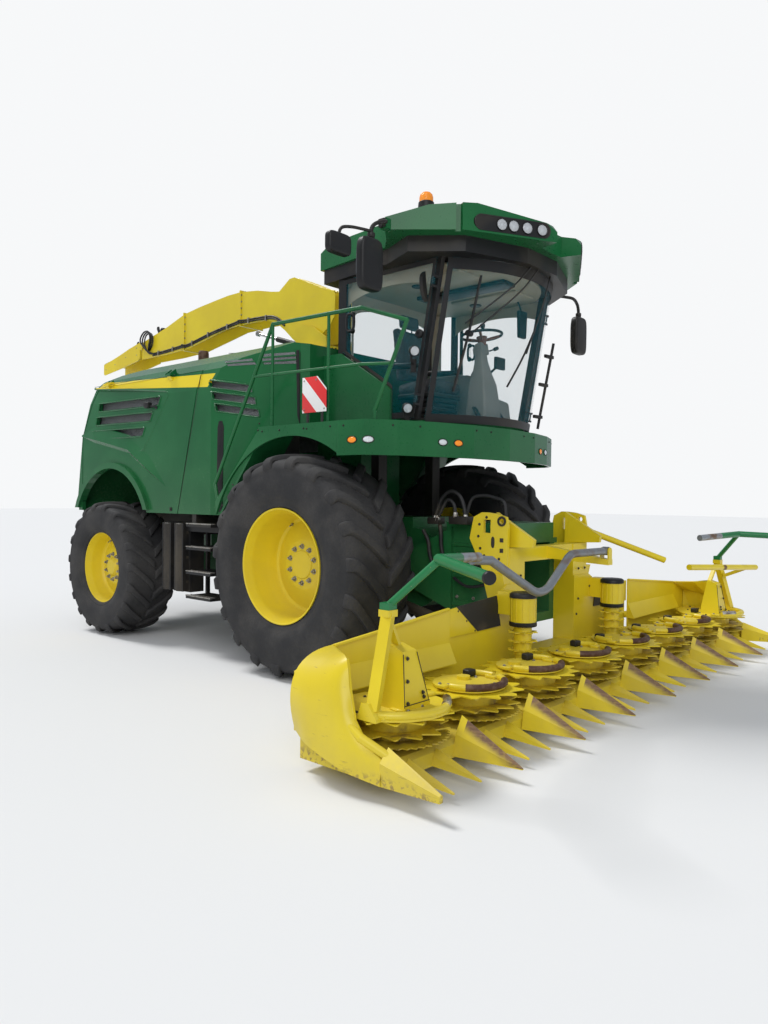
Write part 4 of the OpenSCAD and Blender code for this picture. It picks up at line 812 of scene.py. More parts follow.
rod = pipe([(0.985, -1.20, 3.20), (0.985, -1.15, 2.95), (0.985, -1.05, 2.45), (0.985, -1.03, 2.34)],
           0.014, 10)
clamps = []
for y, z in ((-1.175, 3.06), (-1.115, 2.78), (-1.055, 2.46)):
    clamps.append(plate("z", [(0.86, y - 0.012), (1.005, y - 0.022), (1.012, y), (1.005, y + 0.022),
                              (0.86, y + 0.012)], z - 0.016, z + 0.016, 0.004))
done([rod] + clamps, "grab_rod", "chassis", "black_plastic")

# %% [markdown]
# ## Doors
# Each door is one pane with a printed border, a loop handle, a round lock, and a strip of
# black moulding down its front edge. On the near door two small work lamps shine on the
# ladder. They all turn with the door.

# %% Door trim
DOOR = [(-0.075, 2.965), (-0.075, 3.625), (-1.17, 3.625), (-0.94, 2.305), (-0.695, 2.305), (-0.695, 2.562),
        (-0.66, 2.594)]
for side, sign in both:
    door = "cab_door_" + side
    inner = [(y * 0.93 - 0.047, z * 0.93 + 0.213) for y, z in DOOR]
    strips = []
    for a, b, c, d in zip(DOOR, DOOR[1:] + DOOR[:1], inner[1:] + inner[:1], inner):
        strips.append(plate("x", [a, b, c, d], sign * 0.9125, sign * 0.9165))
    done(strips, "door_border_" + side, door, "black_plastic")
    loop = [(sign * 0.950, -0.205 + 0.046 * u, 3.215 + 0.078 * v) for u, v in soft_square(24, 0.6, 0)]
    handle = pipe(loop + loop[:1], 0.0125, 12, soft=False)
    pads = [turned([(0, 0), (0, 0.026), (sign * 0.012, 0.024), (sign * 0.036, 0.014), (sign * 0.036, 0)],
                   place(sign * 0.914, -0.205, z), "x", 20) for z in (3.290, 3.140)]
    lock = turned([(0, 0), (0, 0.038), (sign * 0.020, 0.038), (sign * 0.030, 0.028), (sign * 0.030, 0.012),
                   (sign * 0.022, 0.010), (sign * 0.022, 0)], place(sign * 0.914, -1.00, 3.01), "x", 24)
    catch = bent_bar(8, lambda u, s, t, w=sign: place(w * (0.916 + 0.05 * t * (1 - abs(2 * u - 1) ** 4)),
                                                      -1.035 + 0.018 * s - 0.03 * u, 3.53 - 0.26 * u))
    done([handle, lock] + pads + [outward(catch)], "door_handle_" + side, door, "black_plastic")


def round_lamp(spot, toward, radius, depth, name, body):
    """A work lamp: a ribbed black cup, a faceted reflector and a domed lens, on a spot facing a way."""
    cup = [(-depth, 0), (-depth, radius * 0.55), (-depth * 0.75, radius * 0.62),
           (-depth * 0.6, radius * 0.95), (-0.002, radius), (0.004, radius * 0.99), (0.004, radius * 0.9),
           (-0.004, radius * 0.86), (-depth * 0.5, radius * 0.5), (-depth * 0.5, 0)]
    shine = [(-depth * 0.5 + 0.001, 0), (-depth * 0.42, radius * 0.36), (-0.004, radius * 0.85),
             (-0.0055, radius * 0.85), (-depth * 0.46, radius * 0.36), (-depth * 0.5 - 0.001, 0)]
    bulb = [(-depth * 0.45, 0), (-depth * 0.45, radius * 0.16), (-depth * 0.12, radius * 0.20),
            (0, radius * 0.12), (0, 0)]
    face = [(-0.003, 0), (-0.003, radius * 0.88), (0.0005, radius * 0.88), (0.006, radius * 0.6), (0.008, 0)]
    for profile, word, finish, steps in ((cup, "cup", plastic, 32), (shine, "shine", reflector, 32),
                                         (bulb, "bulb", lamp_lens, 16), (face, "glass", clear_lens, 32)):
        done(stood(profile, place(*spot), toward, steps), name + "_" + word, body, "lamp", finish.material)


clear_lens = Finish("clear_lens")
ridge = clear_lens.add("ShaderNodeTexWave", {"bands_direction": "X"},
                       {"Vector": clear_lens.spot, "Scale": 45})
clear_lens.set(Base_Color=clear_lens.blend(ridge, (0.90, 0.93, 0.95), (0.80, 0.84, 0.88)),
               Alpha=ridge * 0.15 + 0.32, Roughness=ridge * 0.1 + 0.05,
               Normal=clear_lens.bump(ridge, 0.4, 0.001))

stalks = []
for k, (y, z) in enumerate(((-0.955, 2.86), (-0.885, 2.38))):
    stalks.append(pipe([(-0.918, y + 0.03, z - 0.10), (-0.945, y + 0.02, z - 0.09),
                        (-0.955, y + 0.015, z - 0.03)], 0.009, 8))
    stalks.append(slab("x", (y - 0.01, y + 0.05), (z - 0.17, z - 0.06), (-0.922, -0.916), 0.002))
    round_lamp((-0.962, y - 0.03, z), (-0.45, -0.8, -0.25), 0.044, 0.06, "door_lamp_%d" % k,
               "cab_door_right")
done(stalks, "door_lamp_brackets", "cab_door_right", "dark_frame")

# %% [markdown]
# ## Roof lamps and beacon
# Each pod has a long black recess with four round lamps, all square to the pod. The
# beacon is an orange dome on a black collar. The near beacon only: there is no twin.

# %% Roof lamps and beacon
POD = (Vector((0.21, -1.90, 3.852)), Vector((0.975, -1.48, 3.852)))
along = (POD[1] - POD[0]).normalized()
normal = Vector((along.y, -along.x, 0))
for side, sign in both:
    flip = Vector((sign, 1, 1))
    for k, share in enumerate((0.17, 0.33, 0.475, 0.60)):
        spot = POD[0] + (POD[1] - POD[0]) * share
        round_lamp((spot + normal * 0.007) * flip, normal * flip, 0.050, 0.036,
                   "roof_lamp_%s_%d" % (side, k), "chassis")
    oval, rim_path = [], []
    middle = POD[0] + (POD[1] - POD[0]) * 0.48
    for c, s in circle(48):
        reach = 0.287 * (1 if c > 0 else -1) + 0.060 * c
        oval.append((reach, 0.060 * s))
        rim_path.append((middle + along * reach + Vector((0, 0, 0.060 * s)) + normal * 0.002) * flip)
    face = plate("y", oval, -0.0012, 0.0032)
    face.data.transform(Matrix.Translation((0, -SHIFT, 0)))
    for corner in face.data.vertices:
        flat = corner.co.copy()
        corner.co = place(*((middle + along * flat.x + Vector((0, 0, flat.z)) + normal * flat.y) * flip))
    frame_ring = pipe(rim_path + rim_path[:1], 0.006, 8, soft=False)
    done([outward(face), frame_ring], "lamp_recess_" + side, "chassis", "black_plastic")

spot = place(-0.95, -1.08, 4.005)
base = turned([(0.0005, 0), (0.0005, 0.078), (0.020, 0.078), (0.026, 0.070), (0.080, 0.066), (0.086, 0.060),
               (0.086, 0)], spot, "z", 36)
done(base, "beacon_base", "chassis", "black_plastic")
dome = turned([(0.086, 0), (0.086, 0.059), (0.125, 0.058), (0.148, 0.051), (0.163, 0.036), (0.171, 0.016),
               (0.1735, 0)], spot, "z", 36)
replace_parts(done(dome, "beacon_dome", "chassis", "lamp", amber.material, 50), "lamps")
for k, (c, s) in enumerate(circle(4, 0.5)):
    screw = turned([(0, 0), (0, 0.008), (0.005, 0.008), (0.007, 0.004), (0.007, 0)],
                   spot + Vector((c * 0.066, s * 0.066, 0.024)), "z", 12)
    done(screw, "beacon_screw_%d" % k, "chassis", *PLATED)

# %% [markdown]
# ## Mirrors
# A mirror head is a shell with a domed back and a flat glass set in a lip. The arms come
# out of the roof's corner, run out and drop to the head's clamp. The near side carries a
# small wide-angle mirror further out.

# %% Mirrors
def mirror_head(centre, width, height, depth):
    """A domed mirror housing whose glass faces the driver, +Y."""
    corners = [(u * width / 2, v * height / 2) for u, v in soft_square(56, 0.42)]
    shell = plate("y", corners, -depth * 0.5, depth * 0.32, depth * 0.24, 5, 50)
    shell.data.transform(Matrix.Translation(place(*centre) + Vector((0, -SHIFT, 0))))
    for corner in shell.data.vertices:
        back = (place(*centre).y - corner.co.y) / (depth * 0.5)
        if back > 0.3:
            u = (corner.co.x - centre[0]) / (width / 2)
            v = (corner.co.z - centre[2]) / (height / 2)
            corner.co.y -= 0.010 * max(0, 1 - u * u) * max(0, 1 - v * v) * min(1, back)
    return shell


def mirror_pane(centre, width, height, depth):
    corners = [(centre[0] + u * width * 0.44, centre[2] + v * height * 0.455)
               for u, v in soft_square(32, 0.5)]
    return plate("y", corners, centre[1] + depth * 0.30, centre[1] + depth * 0.335)


heads, panes, arms = [], [], []
MIRRORS = (((-1.672, -1.105, 3.398), 0.242, 0.405, 0.098), ((1.672, -1.105, 3.398), 0.242, 0.405, 0.098),
           ((-2.005, -1.10, 3.475), 0.230, 0.160, 0.078))
for measures in MIRRORS:
    heads.append(mirror_head(*measures))
    panes.append(mirror_pane(*measures))
for sign in (-1, 1):
    arms.append(pipe([(sign * 1.412, -1.005, 3.798), (sign * 1.455, -1.06, 3.788),
                      (sign * 1.51, -1.128, 3.768), (sign * 1.60, -1.125, 3.735),
                      (sign * 1.650, -1.116, 3.690), (sign * 1.66, -1.115, 3.62),
                      (sign * 1.66, -1.115, 3.45)], 0.0165, 14))
    arms.append(slab("x", (-1.036, -0.974), (3.776, 3.845), (sign * 1.4025, sign * 1.430), 0.006))
    for z in (3.585, 3.625):
        arms.append(turned([(-0.018, 0.014), (-0.018, 0.027), (-0.012, 0.030), (0.012, 0.030),
                            (0.018, 0.027), (0.018, 0.014)], place(sign * 1.66, -1.115, z), "z", 20))
arms.append(pipe([(-1.655, -1.117, 3.655), (-1.74, -1.112, 3.650), (-1.88, -1.110, 3.632),
                  (-1.975, -1.108, 3.600), (-2.005, -1.106, 3.53)], 0.0125, 12))
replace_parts(done(heads, "mirror_shells", "chassis", "black_plastic", smooth=60), "mirrors")
done(panes, "mirror_panes", "chassis", "glass", mirror_glass.material)
done(arms, "mirror_arms", "chassis", "dark_frame")

# %% [markdown]
# ## Inside the cab
# Through the panes one sees a beige headliner with arched valances over the doors and a
# lining on the rear post. The roof lining is one curved plate whose front edge keeps
# clear of the leaning windscreen.

# %% Headliner and post linings
arc = [(0.842, -1.05)]
for k in range(13):
    turn = math.radians(50 - 100 * k / 12)
    arc.append((1.06 * math.sin(turn), -0.40 - 1.06 * math.cos(turn)))
arc += [(-0.842, -1.05), (-0.842, -0.062), (-0.62, 0.086), (0.62, 0.086), (0.842, -0.062)]
lining = [plate("z", arc, 3.600, 3.628, 0.008, 2)]


def valance(y):
    """The lining's lower edge over a door: low by the posts and high between them."""
    share = (y + 1.12) / 1.05
    return 3.40 + 0.105 * math.sin(math.pi * min(1, max(0, share))) ** 0.6


for sign in (-1, 1):
    lining.append(outward(bent_bar(24, lambda u, s, t, w=sign: place(
        w * (0.843 - (0.006 if s > 0 else 0)), -1.12 + 1.05 * u, 3.61 if t else valance(-1.12 + 1.05 * u)))))
    lining.append(outward(bent_bar(4, lambda u, s, t, w=sign: place(
        w * (0.702 - 0.087 * u), 0.024 + 0.058 * u - (0.006 if s > 0 else 0), 3.61 if t else 2.93))))
rear = outward(bent_bar(24, lambda u, s, t: place(
    (u - 0.5) * 1.24, 0.083 + 0.004 * s, 3.61 if t else 3.36 + 0.13 * math.sin(math.pi * u) ** 0.5)))
lining.append(rear)
for x in (-0.45, 0.45):
    lining.append(slab("z", (x - 0.17, x + 0.17), (-1.18, -0.42), (3.578, 3.602), 0.012, 3))
done(lining, "headliner", "chassis", "trim_plastic", smooth=45)
trims = [plate("z", [(-0.10, -1.30), (0.10, -1.30), (0.12, -0.30), (-0.12, -0.30)], 3.560, 3.600, 0.010, 3)]
for x in (-0.46, 0.46):
    trims.append(turned([(-0.012, 0), (-0.012, 0.055), (-0.004, 0.062), (0.0, 0.062), (0.0, 0)],
                        place(x, -0.60, 3.578), "z", 28))
done(trims, "headliner_vents", "chassis", "black_plastic")

# %% [markdown]
# The seat is a stuffed one. Each cushion starts as a slightly small block, is remeshed to
# an even skin, and is blown up like a pillow by a short cloth simulation whose result is
# applied. Two sewn grooves run down it, and the base under it is a ribbed bellows.

# %% Seat cushions
def stuffed(centre, size, lean, swell, name):
    """A pillow that fills a block: its skin is blown outwards, then it settles."""
    bpy.ops.mesh.primitive_cube_add(size=1, location=(0, 0, 0))
    piece = bpy.context.object
    piece.data.transform(Matrix.Diagonal((*size, 1)))
    piece = rounded(piece, min(size) * 0.32, 4)
    applied(piece, "REMESH", mode="VOXEL", voxel_size=0.010)
    rest = [v.co.copy() for v in piece.data.vertices]
    cloth_rule = piece.modifiers.new("stuffing", "CLOTH")
    cloth_rule.settings.use_pressure = True
    cloth_rule.settings.uniform_pressure_force = 4
    cloth_rule.settings.effector_weights.gravity = 0
    cloth_rule.point_cache.frame_start, cloth_rule.point_cache.frame_end = 1, 12
    for step in range(1, 13):
        bpy.context.scene.frame_set(step)
    alone(piece)
    bpy.ops.object.modifier_apply(modifier=cloth_rule.name)
    bpy.context.scene.frame_set(1)
    for corner, start in zip(piece.data.vertices, rest):
        move = corner.co - start
        if move.length > swell:
            corner.co = start + move.normalized() * swell
    spread = Vector(size) / 2
    for corner in piece.data.vertices:
        across = corner.co.x / spread.x
        groove = math.exp(-((abs(across) - 0.56) / 0.045) ** 2)
        up = max(range(3), key=lambda k: abs(corner.co[k]) / spread[k])
        if up != 0:
            corner.co[up] -= math.copysign(0.009 * groove, corner.co[up])
    applied(piece, "SUBSURF", levels=1, render_levels=1)
    piece.data.transform(Matrix.Translation(place(*centre)) @ Matrix.Rotation(math.radians(lean), 4, "X"))
    done(piece, name, "chassis", "seat_fabric", smooth=80)
    return piece


stuffed((0, -0.385, 2.69), (0.47, 0.46, 0.10), -3, 0.022, "seat_cushion")
stuffed((0, -0.135, 3.04), (0.45, 0.085, 0.54), -7, 0.022, "seat_back")
stuffed((0, -0.105, 3.385), (0.26, 0.07, 0.13), -7, 0.016, "seat_headrest")
base = [slab("z", (-0.23, 0.23), (-0.60, -0.16), (2.585, 2.632), 0.012, 3)]
for k in range(6):
    reach = 0.205 if k % 2 else 0.185
    base.append(slab("z", (-reach, reach), (-0.38 - reach, -0.38 + reach),
                     (2.295 + 0.049 * k, 2.344 + 0.049 * k), 0.014))
for x in (-0.05, 0.05):
    base.append(pipe([(x, -0.105, 3.24), (x, -0.100, 3.36)], 0.007, 8))
for sign in (-1, 1):
    base.append(plate("x", [(-0.52, 2.86), (-0.50, 2.905), (-0.14, 2.935), (-0.13, 2.88), (-0.30, 2.865)],
                      sign * 0.262, sign * 0.315, 0.016, 3))
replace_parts(done(base, "seat_base", "chassis", "black_plastic"), "seat")

# %% [markdown]
# The steering column is a grey moulding, wide at the floor and narrow under the wheel.
# The wheel leans towards the driver. On the right stands the console with its stick and
# screen, and another screen hangs from the roof by the left post.

# %% Steering column, wheel, console and screens
column_grey = Finish("column_grey")
speck = column_grey.noise(300, 2)
column_grey.set(Base_Color=column_grey.blend(column_grey.noise(3).ramp(0.3, 0.7), (0.17, 0.165, 0.145),
                                             (0.22, 0.21, 0.185)), Roughness=speck * 0.1 + 0.5,
                Normal=column_grey.bump(speck, 0.2, 0.0008))
red_brown = Finish("spoke_plastic")
red_brown.set(Base_Color=red_brown.blend(red_brown.noise(30), (0.16, 0.045, 0.025), (0.22, 0.075, 0.04)),
              Roughness=0.5)
screen_off = Finish("screen_off")
screen_off.set(Base_Color=screen_off.blend(screen_off.noise(2), (0.010, 0.014, 0.016),
                                           (0.020, 0.024, 0.026)), Roughness=0.12)

COLUMN = [(2.30, -1.03, 0.140, 0.115), (2.45, -1.03, 0.135, 0.110), (2.68, -1.02, 0.112, 0.090),
          (2.80, -1.01, 0.075, 0.065), (2.90, -1.00, 0.055, 0.048), (3.02, -0.99, 0.042, 0.040)]


def column_rule(u, s, t):
    k = min(len(COLUMN) - 2, int(u * (len(COLUMN) - 1)))
    share = u * (len(COLUMN) - 1) - k
    z, y, wide_by, deep = (a + (b - a) * share for a, b in zip(COLUMN[k], COLUMN[k + 1]))
    return place(s * wide_by, y + (t - 0.5) * 2 * deep, z)


column = rounded(outward(bent_bar(15, column_rule)), 0.022, 3, 60)
shroud = plate("x", [(-1.04, 2.97), (-0.93, 2.96), (-0.92, 3.02), (-0.95, 3.07), (-1.02, 3.08)],
               -0.040, 0.080, 0.014, 3)
done([column, shroud], "steering_column", "chassis", "trim_plastic", column_grey.material)
WHEEL = Vector((0.02, -0.985, 3.150))
tilt = Matrix.Rotation(math.radians(-5), 4, "X")
upright = tilt @ AXES["z"]
ring_path = [WHEEL + tilt @ Vector((0.190 * c, 0.190 * s, 0)) for c, s in circle(48)]
ring = pipe(ring_path + ring_path[:1], 0.0135, 12, soft=False)
knob = stood([(0.0, 0), (0.0, 0.010), (0.02, 0.022), (0.042, 0.024), (0.052, 0.016), (0.055, 0)],
             place(*(WHEEL + tilt @ Vector((-0.150, -0.118, 0.008)))), upright, 20)
lever = pipe([(0.06, -0.99, 3.01), (0.13, -1.00, 3.02), (0.20, -1.01, 3.045)], 0.008, 8)
lever_tip = stood([(-0.03, 0), (-0.03, 0.010), (-0.015, 0.018), (0.03, 0.018), (0.038, 0.010), (0.04, 0)],
                  place(0.215, -1.012, 3.050), (1, -0.1, 0.4))
done([ring, knob, lever, lever_tip], "steering_wheel", "chassis", "black_plastic", smooth=60)
spokes = []
for turn in (90, 210, 330):
    way = Vector((math.cos(math.radians(turn)), math.sin(math.radians(turn)), 0))
    spokes.append(pipe([WHEEL + tilt @ (way * 0.182), WHEEL + tilt @ (way * 0.10 + Vector((0, 0, -0.022))),
                        WHEEL + tilt @ (way * 0.03 + Vector((0, 0, -0.045)))], 0.013, 8))
boss = stood([(-0.10, 0), (-0.10, 0.034), (-0.035, 0.044), (-0.02, 0.052), (-0.012, 0.048), (-0.010, 0)],
             place(*WHEEL), upright, 28)
done(spokes + [boss], "steering_spokes", "chassis", "trim_plastic", red_brown.material)

console = [plate("x", [(-0.72, 2.70), (-0.70, 2.80), (-0.60, 2.855), (-0.30, 2.87), (-0.07, 2.86),
                       (-0.06, 2.295), (-0.68, 2.295), (-0.70, 2.50)], 0.315, 0.545, 0.022, 3)]
console.append(plate("x", [(-1.02, 2.30), (-0.98, 2.56), (-0.84, 2.62), (-0.72, 2.60), (-0.70, 2.30)],
                     0.20, 0.52, 0.02, 3))
console.append(plate("x", [(-0.36, 2.86), (-0.34, 2.90), (-0.10, 2.905), (-0.08, 2.86)],
                     0.34, 0.53, 0.014, 3))
for k in range(4):
    console.append(slab("z", (0.35 + 0.043 * k, 0.382 + 0.043 * k), (-0.50, -0.44), (2.862, 2.874), 0.004))
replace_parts(done(console, "console", "chassis", "black_plastic", column_grey.material), "controls")
stick = pipe([(0.40, -0.64, 2.84), (0.40, -0.65, 2.90), (0.40, -0.66, 2.945)], 0.010, 10)
grip = stood([(-0.05, 0), (-0.05, 0.016), (-0.02, 0.021), (0.03, 0.024), (0.055, 0.026), (0.065, 0.018),
              (0.068, 0)], place(0.40, -0.665, 2.99), (-0.15, -0.2, 1), 20)
boot = turned([(0, 0), (0, 0.040), (0.010, 0.034), (0.018, 0.036), (0.028, 0.026), (0.034, 0.028),
               (0.05, 0.014), (0.05, 0)], place(0.40, -0.64, 2.850), "z", 24)
screen_case = slab("y", (0.40, 0.56), (2.90, 3.02), (-0.905, -0.868), 0.010, 3)
screen_arm = pipe([(0.44, -0.62, 2.80), (0.46, -0.78, 2.87), (0.48, -0.875, 2.95)], 0.012, 8)
done([stick, grip, boot, screen_case, screen_arm], "console_stick", "chassis", "black_plastic")
face = slab("y", (0.412, 0.548), (2.912, 3.008), (-0.869, -0.866))
hung = plate("y", [(0.60, 3.22), (0.715, 3.22), (0.73, 3.49), (0.585, 3.49)], -1.05, -1.005, 0.014, 3)
hang = pipe([(0.655, -1.02, 3.47), (0.65, -1.00, 3.55), (0.66, -0.96, 3.615)], 0.009, 8)
hung_face = plate("y", [(0.61, 3.24), (0.705, 3.24), (0.715, 3.47), (0.60, 3.47)], -1.0055, -1.003)
done([face, hung_face], "screen_faces", "chassis", "black_plastic", screen_off.material)
done([hung, hang], "roof_screen", "chassis", "black_plastic")
pedals = []
for x in (-0.20, -0.10, 0.19):
    pedals.append(plate("x", [(-1.13, 2.34), (-1.05, 2.46), (-1.035, 2.45), (-1.11, 2.33)],
                        x, x + 0.06, 0.005))
mat = plate("z", [(-0.60, -1.05), (0.60, -1.05), (0.78, -0.80), (0.80, 0.02), (-0.80, 0.02), (-0.78, -0.80)],
            2.2865, 2.2945, 0.003)
done(pedals + [mat], "pedals_and_mat", "chassis", "black_plastic")

# %% [markdown]
# ## Striped bodywork
# A yellow band runs along the upper side, over the side panel and its neighbours, and
# ends in a slant. The band is a mask in the paint, so it follows every panel gap.

# %% Striped paint
body_green = Finish("green_paint_with_stripe")
y, z = body_green.y - SHIFT, body_green.z
wide = body_green.add("ShaderNodeMath", {"operation": "ABSOLUTE"}, {0: body_green.x}) > 1.17
top = z < y * 0.0476 + 2.782
bottom = z > y * 0.0752 + 2.608
slant = (y + z * 0.77) > 3.452
mask = wide * top * bottom * slant * (y < 3.62)
slow = body_green.noise(1.3, 4)
paint_green = body_green.blend(slow.ramp(0.3, 0.7), (0.004, 0.100, 0.028), (0.006, 0.130, 0.037))
both_paints = body_green.blend(mask, paint_green, (0.78, 0.60, 0.018))
fine = body_green.noise(38, 3)
film = ((1 - z.ramp(1.2, 2.4)) * 0.35 + 0.10) * (slow.ramp(0.35, 0.75) * 0.7 + 0.3) * (fine * 0.7 + 0.55)
film = film * 0.22
body_green.set(Base_Color=body_green.blend(film, both_paints, DUST),
               Roughness=film * 0.5 + (fine * 0.08 + 0.2),
               Normal=body_green.bump(slow * 0.5 + fine * 0.02, 0.12, 0.01))
body_green.shader.inputs["Specular IOR Level"].default_value = 0.3
body_green.shader.inputs["Coat Weight"].default_value = 0.12
body_green.shader.inputs["Coat Roughness"].default_value = 0.08
STRIPED = ("green", body_green.material)
for name in ("hood", "hood_panel_right", "hood_panel_left", "cowl"):
    paint(nodes[name], body_green.material)

# %% [markdown]
# ## Grilles
# Woven wire sits behind the three openings of each side panel and the cowl's slots; its gaps
# are painted near-black, painted shade of the dark space of the cooler behind. Each opening
# has a raised lip. Two small vents with wire mesh sit high on the slanted part of the cowl.

# %% Grilles and lips
SLOTS = [(3.54, 2.20, 2.60, 2.70), (3.60, 2.36, 2.44, 2.54), (3.66, 2.52, 2.28, 2.38)]
COWL_SLOTS = [(1.34, 0.83, 2.78, 2.70), (1.30, 0.79, 2.66, 2.58), (1.26, 0.75, 2.54, 2.46)]


def cowl_side(y):
    """How far from the middle the cowl's slanted side stands."""
    return 1.1 + 0.3 * (y - 0.3)


for side, sign in both:
    body = "panel_" + side
    mesh = slab("x", (2.17, 3.70), (2.235, 2.735), (sign * 1.334, sign * 1.338))
    done(mesh, "panel_mesh_" + side, body, "dark_frame", wire.material)
    lips = []
    for rear, fore, low, high in SLOTS:
        ring = [(rear, high), (rear + 0.025, low), (fore + 0.06, low - 0.015), (fore, high - 0.015)]
        route = [(sign * 1.4005, y, z) for y, z in along_sides(ring, (0.04, 0.5, 0.96))]
        lips.append(pipe(route + route[:1], 0.010, 8, soft=False))
    done(lips, "panel_lips_" + side, body, *STRIPED, 60)
    lips = []
    for rear, fore, high_rear, high_fore in COWL_SLOTS:
        ring = [(rear, high_rear), (rear - 0.02, high_rear - 0.08), (fore - 0.015, high_fore - 0.08),
                (fore, high_fore)]
        route = [(sign * ((1.4 if y > 1.3 else cowl_side(y)) + 0.0005), y, z)
                 for y, z in along_sides(ring, (0.06, 0.35, 0.65, 0.94))]
        lips.append(pipe(route + route[:1], 0.008, 8, soft=False))
    done(lips, "cowl_lips_" + side, "chassis", *STRIPED, 60)
    # A sheet of wire mesh behind the cowl's slots; its near-black gaps are painted shade of the cooler's
    # dark space.
    bpy.ops.mesh.primitive_plane_add(size=1)
    sheet = bpy.context.object
    corners = ((1.345, 1.38, 2.36), (1.195, 0.70, 2.36), (1.345, 1.38, 2.82), (1.195, 0.70, 2.82))
    for corner, (x, y, z) in zip(sheet.data.vertices, corners):
        corner.co = place(sign * x, y, z)
    applied(sheet, "SOLIDIFY", thickness=0.003)
    done(outward(sheet), "cowl_mesh_" + side, "chassis", "dark_frame", wire.material)


def cowl_plate(outline, sign, low, high, soft=0.0):
    """A thin plate that lies on the cowl's slanted side."""
    piece = plate("x", outline, low, high)
    for corner in piece.data.vertices:
        y = corner.co.y - SHIFT
        corner.co = place(sign * (cowl_side(y) + corner.co.x), y, corner.co.z)
    outward(piece)
    return rounded(piece, soft) if soft else piece


for side, sign in both:
    vents = [cowl_plate([(0.34, 2.875), (0.36, 2.985), (0.74, 2.99), (0.69, 2.89)], sign, 0.0005, 0.004),
             cowl_plate([(0.78, 2.895), (0.83, 2.955), (1.14, 2.95), (1.10, 2.90)], sign, 0.0005, 0.004)]
    done(vents, "cowl_vents_" + side, "chassis", "black_plastic", wire.material)
    bars = [cowl_plate([(0.34, z), (0.342, z + 0.016), (0.72, z + 0.018), (0.715, z + 0.002)],
                       sign, 0.0, 0.012, 0.004) for z in (2.905, 2.945)]
    bars.append(cowl_plate([(0.79, 2.92), (0.80, 2.932), (1.13, 2.932), (1.12, 2.92)],
                           sign, 0.0, 0.010, 0.004))
    done(bars, "cowl_vent_bars_" + side, "chassis", "green")
    # A black plate stands for the long slit in the cowl's slant: its black is painted shade of the opening.
    slit = cowl_plate([(1.155, 1.50), (1.145, 2.30), (1.165, 2.36), (1.20, 2.36), (1.215, 2.30),
                       (1.225, 1.50), (1.205, 1.45), (1.175, 1.45)], sign, 0.0, 0.006, 0.002)
    done(slit, "cowl_slit_" + side, "chassis", "black_plastic")
    strip = cowl_plate([(0.315, 3.00), (0.345, 3.00), (0.325, 2.38), (0.30, 2.30)], sign, 0.0, 0.008, 0.002)
    done(strip, "cowl_edge_" + side, "chassis", "black_plastic")

# %% [markdown]
# ## Pressed creases
# The side panel is pressed: a raised ridge frames the grilles in a zigzag, and a longer
# crease starts under them and runs forward and down, gentle above and sharp below.

# %% Creases of the side panels
RIDGE = [(3.66, 2.885), (2.90, 2.815), (2.12, 2.735), (2.06, 2.70), (2.30, 2.40), (2.56, 2.115),
         (2.62, 2.105), (3.14, 2.235), (3.72, 2.385)]
CREASE = [(3.98, 2.325), (3.55, 2.255), (3.20, 2.19), (2.87, 2.125), (2.45, 1.90), (2.10, 1.70)]
for side, sign in both:
    ridge = pipe([(sign * 1.3925, y, z) for y, z in RIDGE], 0.0145, 10, soft=False)

    def wedge(u, s, t, w=sign):
        share = u * (len(CREASE) - 1)
        k = min(len(CREASE) - 2, int(share))
        (ay, az), (by, bz) = CREASE[k], CREASE[k + 1]
        share -= k
        y, z = ay + (by - ay) * share, az + (bz - az) * share
        fade = min(1, 6 * u + 0.1, 5 * (1 - u) + 0.05)
        if t == 0:
            return place(w * 1.390, y, z + (0.17 if s > 0 else -0.055) * fade)
        return place(w * (1.3985 if s > 0 else 1.3995 + 0.020 * fade), y,
                     z + (0.16 if s > 0 else 0.0) * fade)

    crease = outward(bent_bar(30, wedge))
    done([ridge, crease], "panel_creases_" + side, "panel_" + side, *STRIPED, 30)

# %% [markdown]
# ## Joints, latches, camera and board
# A dark rubber seal fills the leaning joint in front of the side panel. Low on the panel
# is a square latch. The near side also has a small camera on a stalk, and the red and
# white board for road travel stands on the platform's edge with one corner cut off.

# %% Seal, latch, camera and warning board
for side, sign in both:
    seal = pipe([(sign * 1.3975, 1.484, 2.84), (sign * 1.3975, 1.68, 2.15), (sign * 1.3975, 1.874, 1.44)],
                0.004, 6, soft=False)
    done(seal, "joint_seal_" + side, "chassis", "black_plastic")
    latch = slab("x", (1.985, 2.025), (1.445, 1.485), (sign * 1.398, sign * 1.406), 0.003)
    ring = turned([(0, 0), (0, 0.012), (sign * 0.004, 0.012), (sign * 0.006, 0.008), (sign * 0.006, 0)],
                  place(sign * 1.406, 2.005, 1.465), "x", 16)
    done([latch, ring], "panel_latch_" + side, "panel_" + side, "dark_frame")

stalk = pipe([(-1.398, 2.30, 2.575), (-1.425, 2.32, 2.578), (-1.45, 2.36, 2.585)], 0.013, 10)
foot = turned([(0, 0), (0, 0.026), (-0.006, 0.026), (-0.010, 0.018), (-0.010, 0)],
              place(-1.4, 2.30, 2.575), "x", 20)
camera_box = plate("x", [(2.345, 2.565), (2.345, 2.622), (2.435, 2.630), (2.445, 2.590), (2.42, 2.560)],
                   -1.480, -1.425, 0.008, 3)
eye = turned([(0, 0), (0, 0.020), (0.008, 0.020), (0.012, 0.014), (0.012, 0.0)],
             place(-1.452, 2.436, 2.598), "y", 20)
done([stalk, foot, camera_box, eye], "side_camera", "panel_right", "black_plastic")

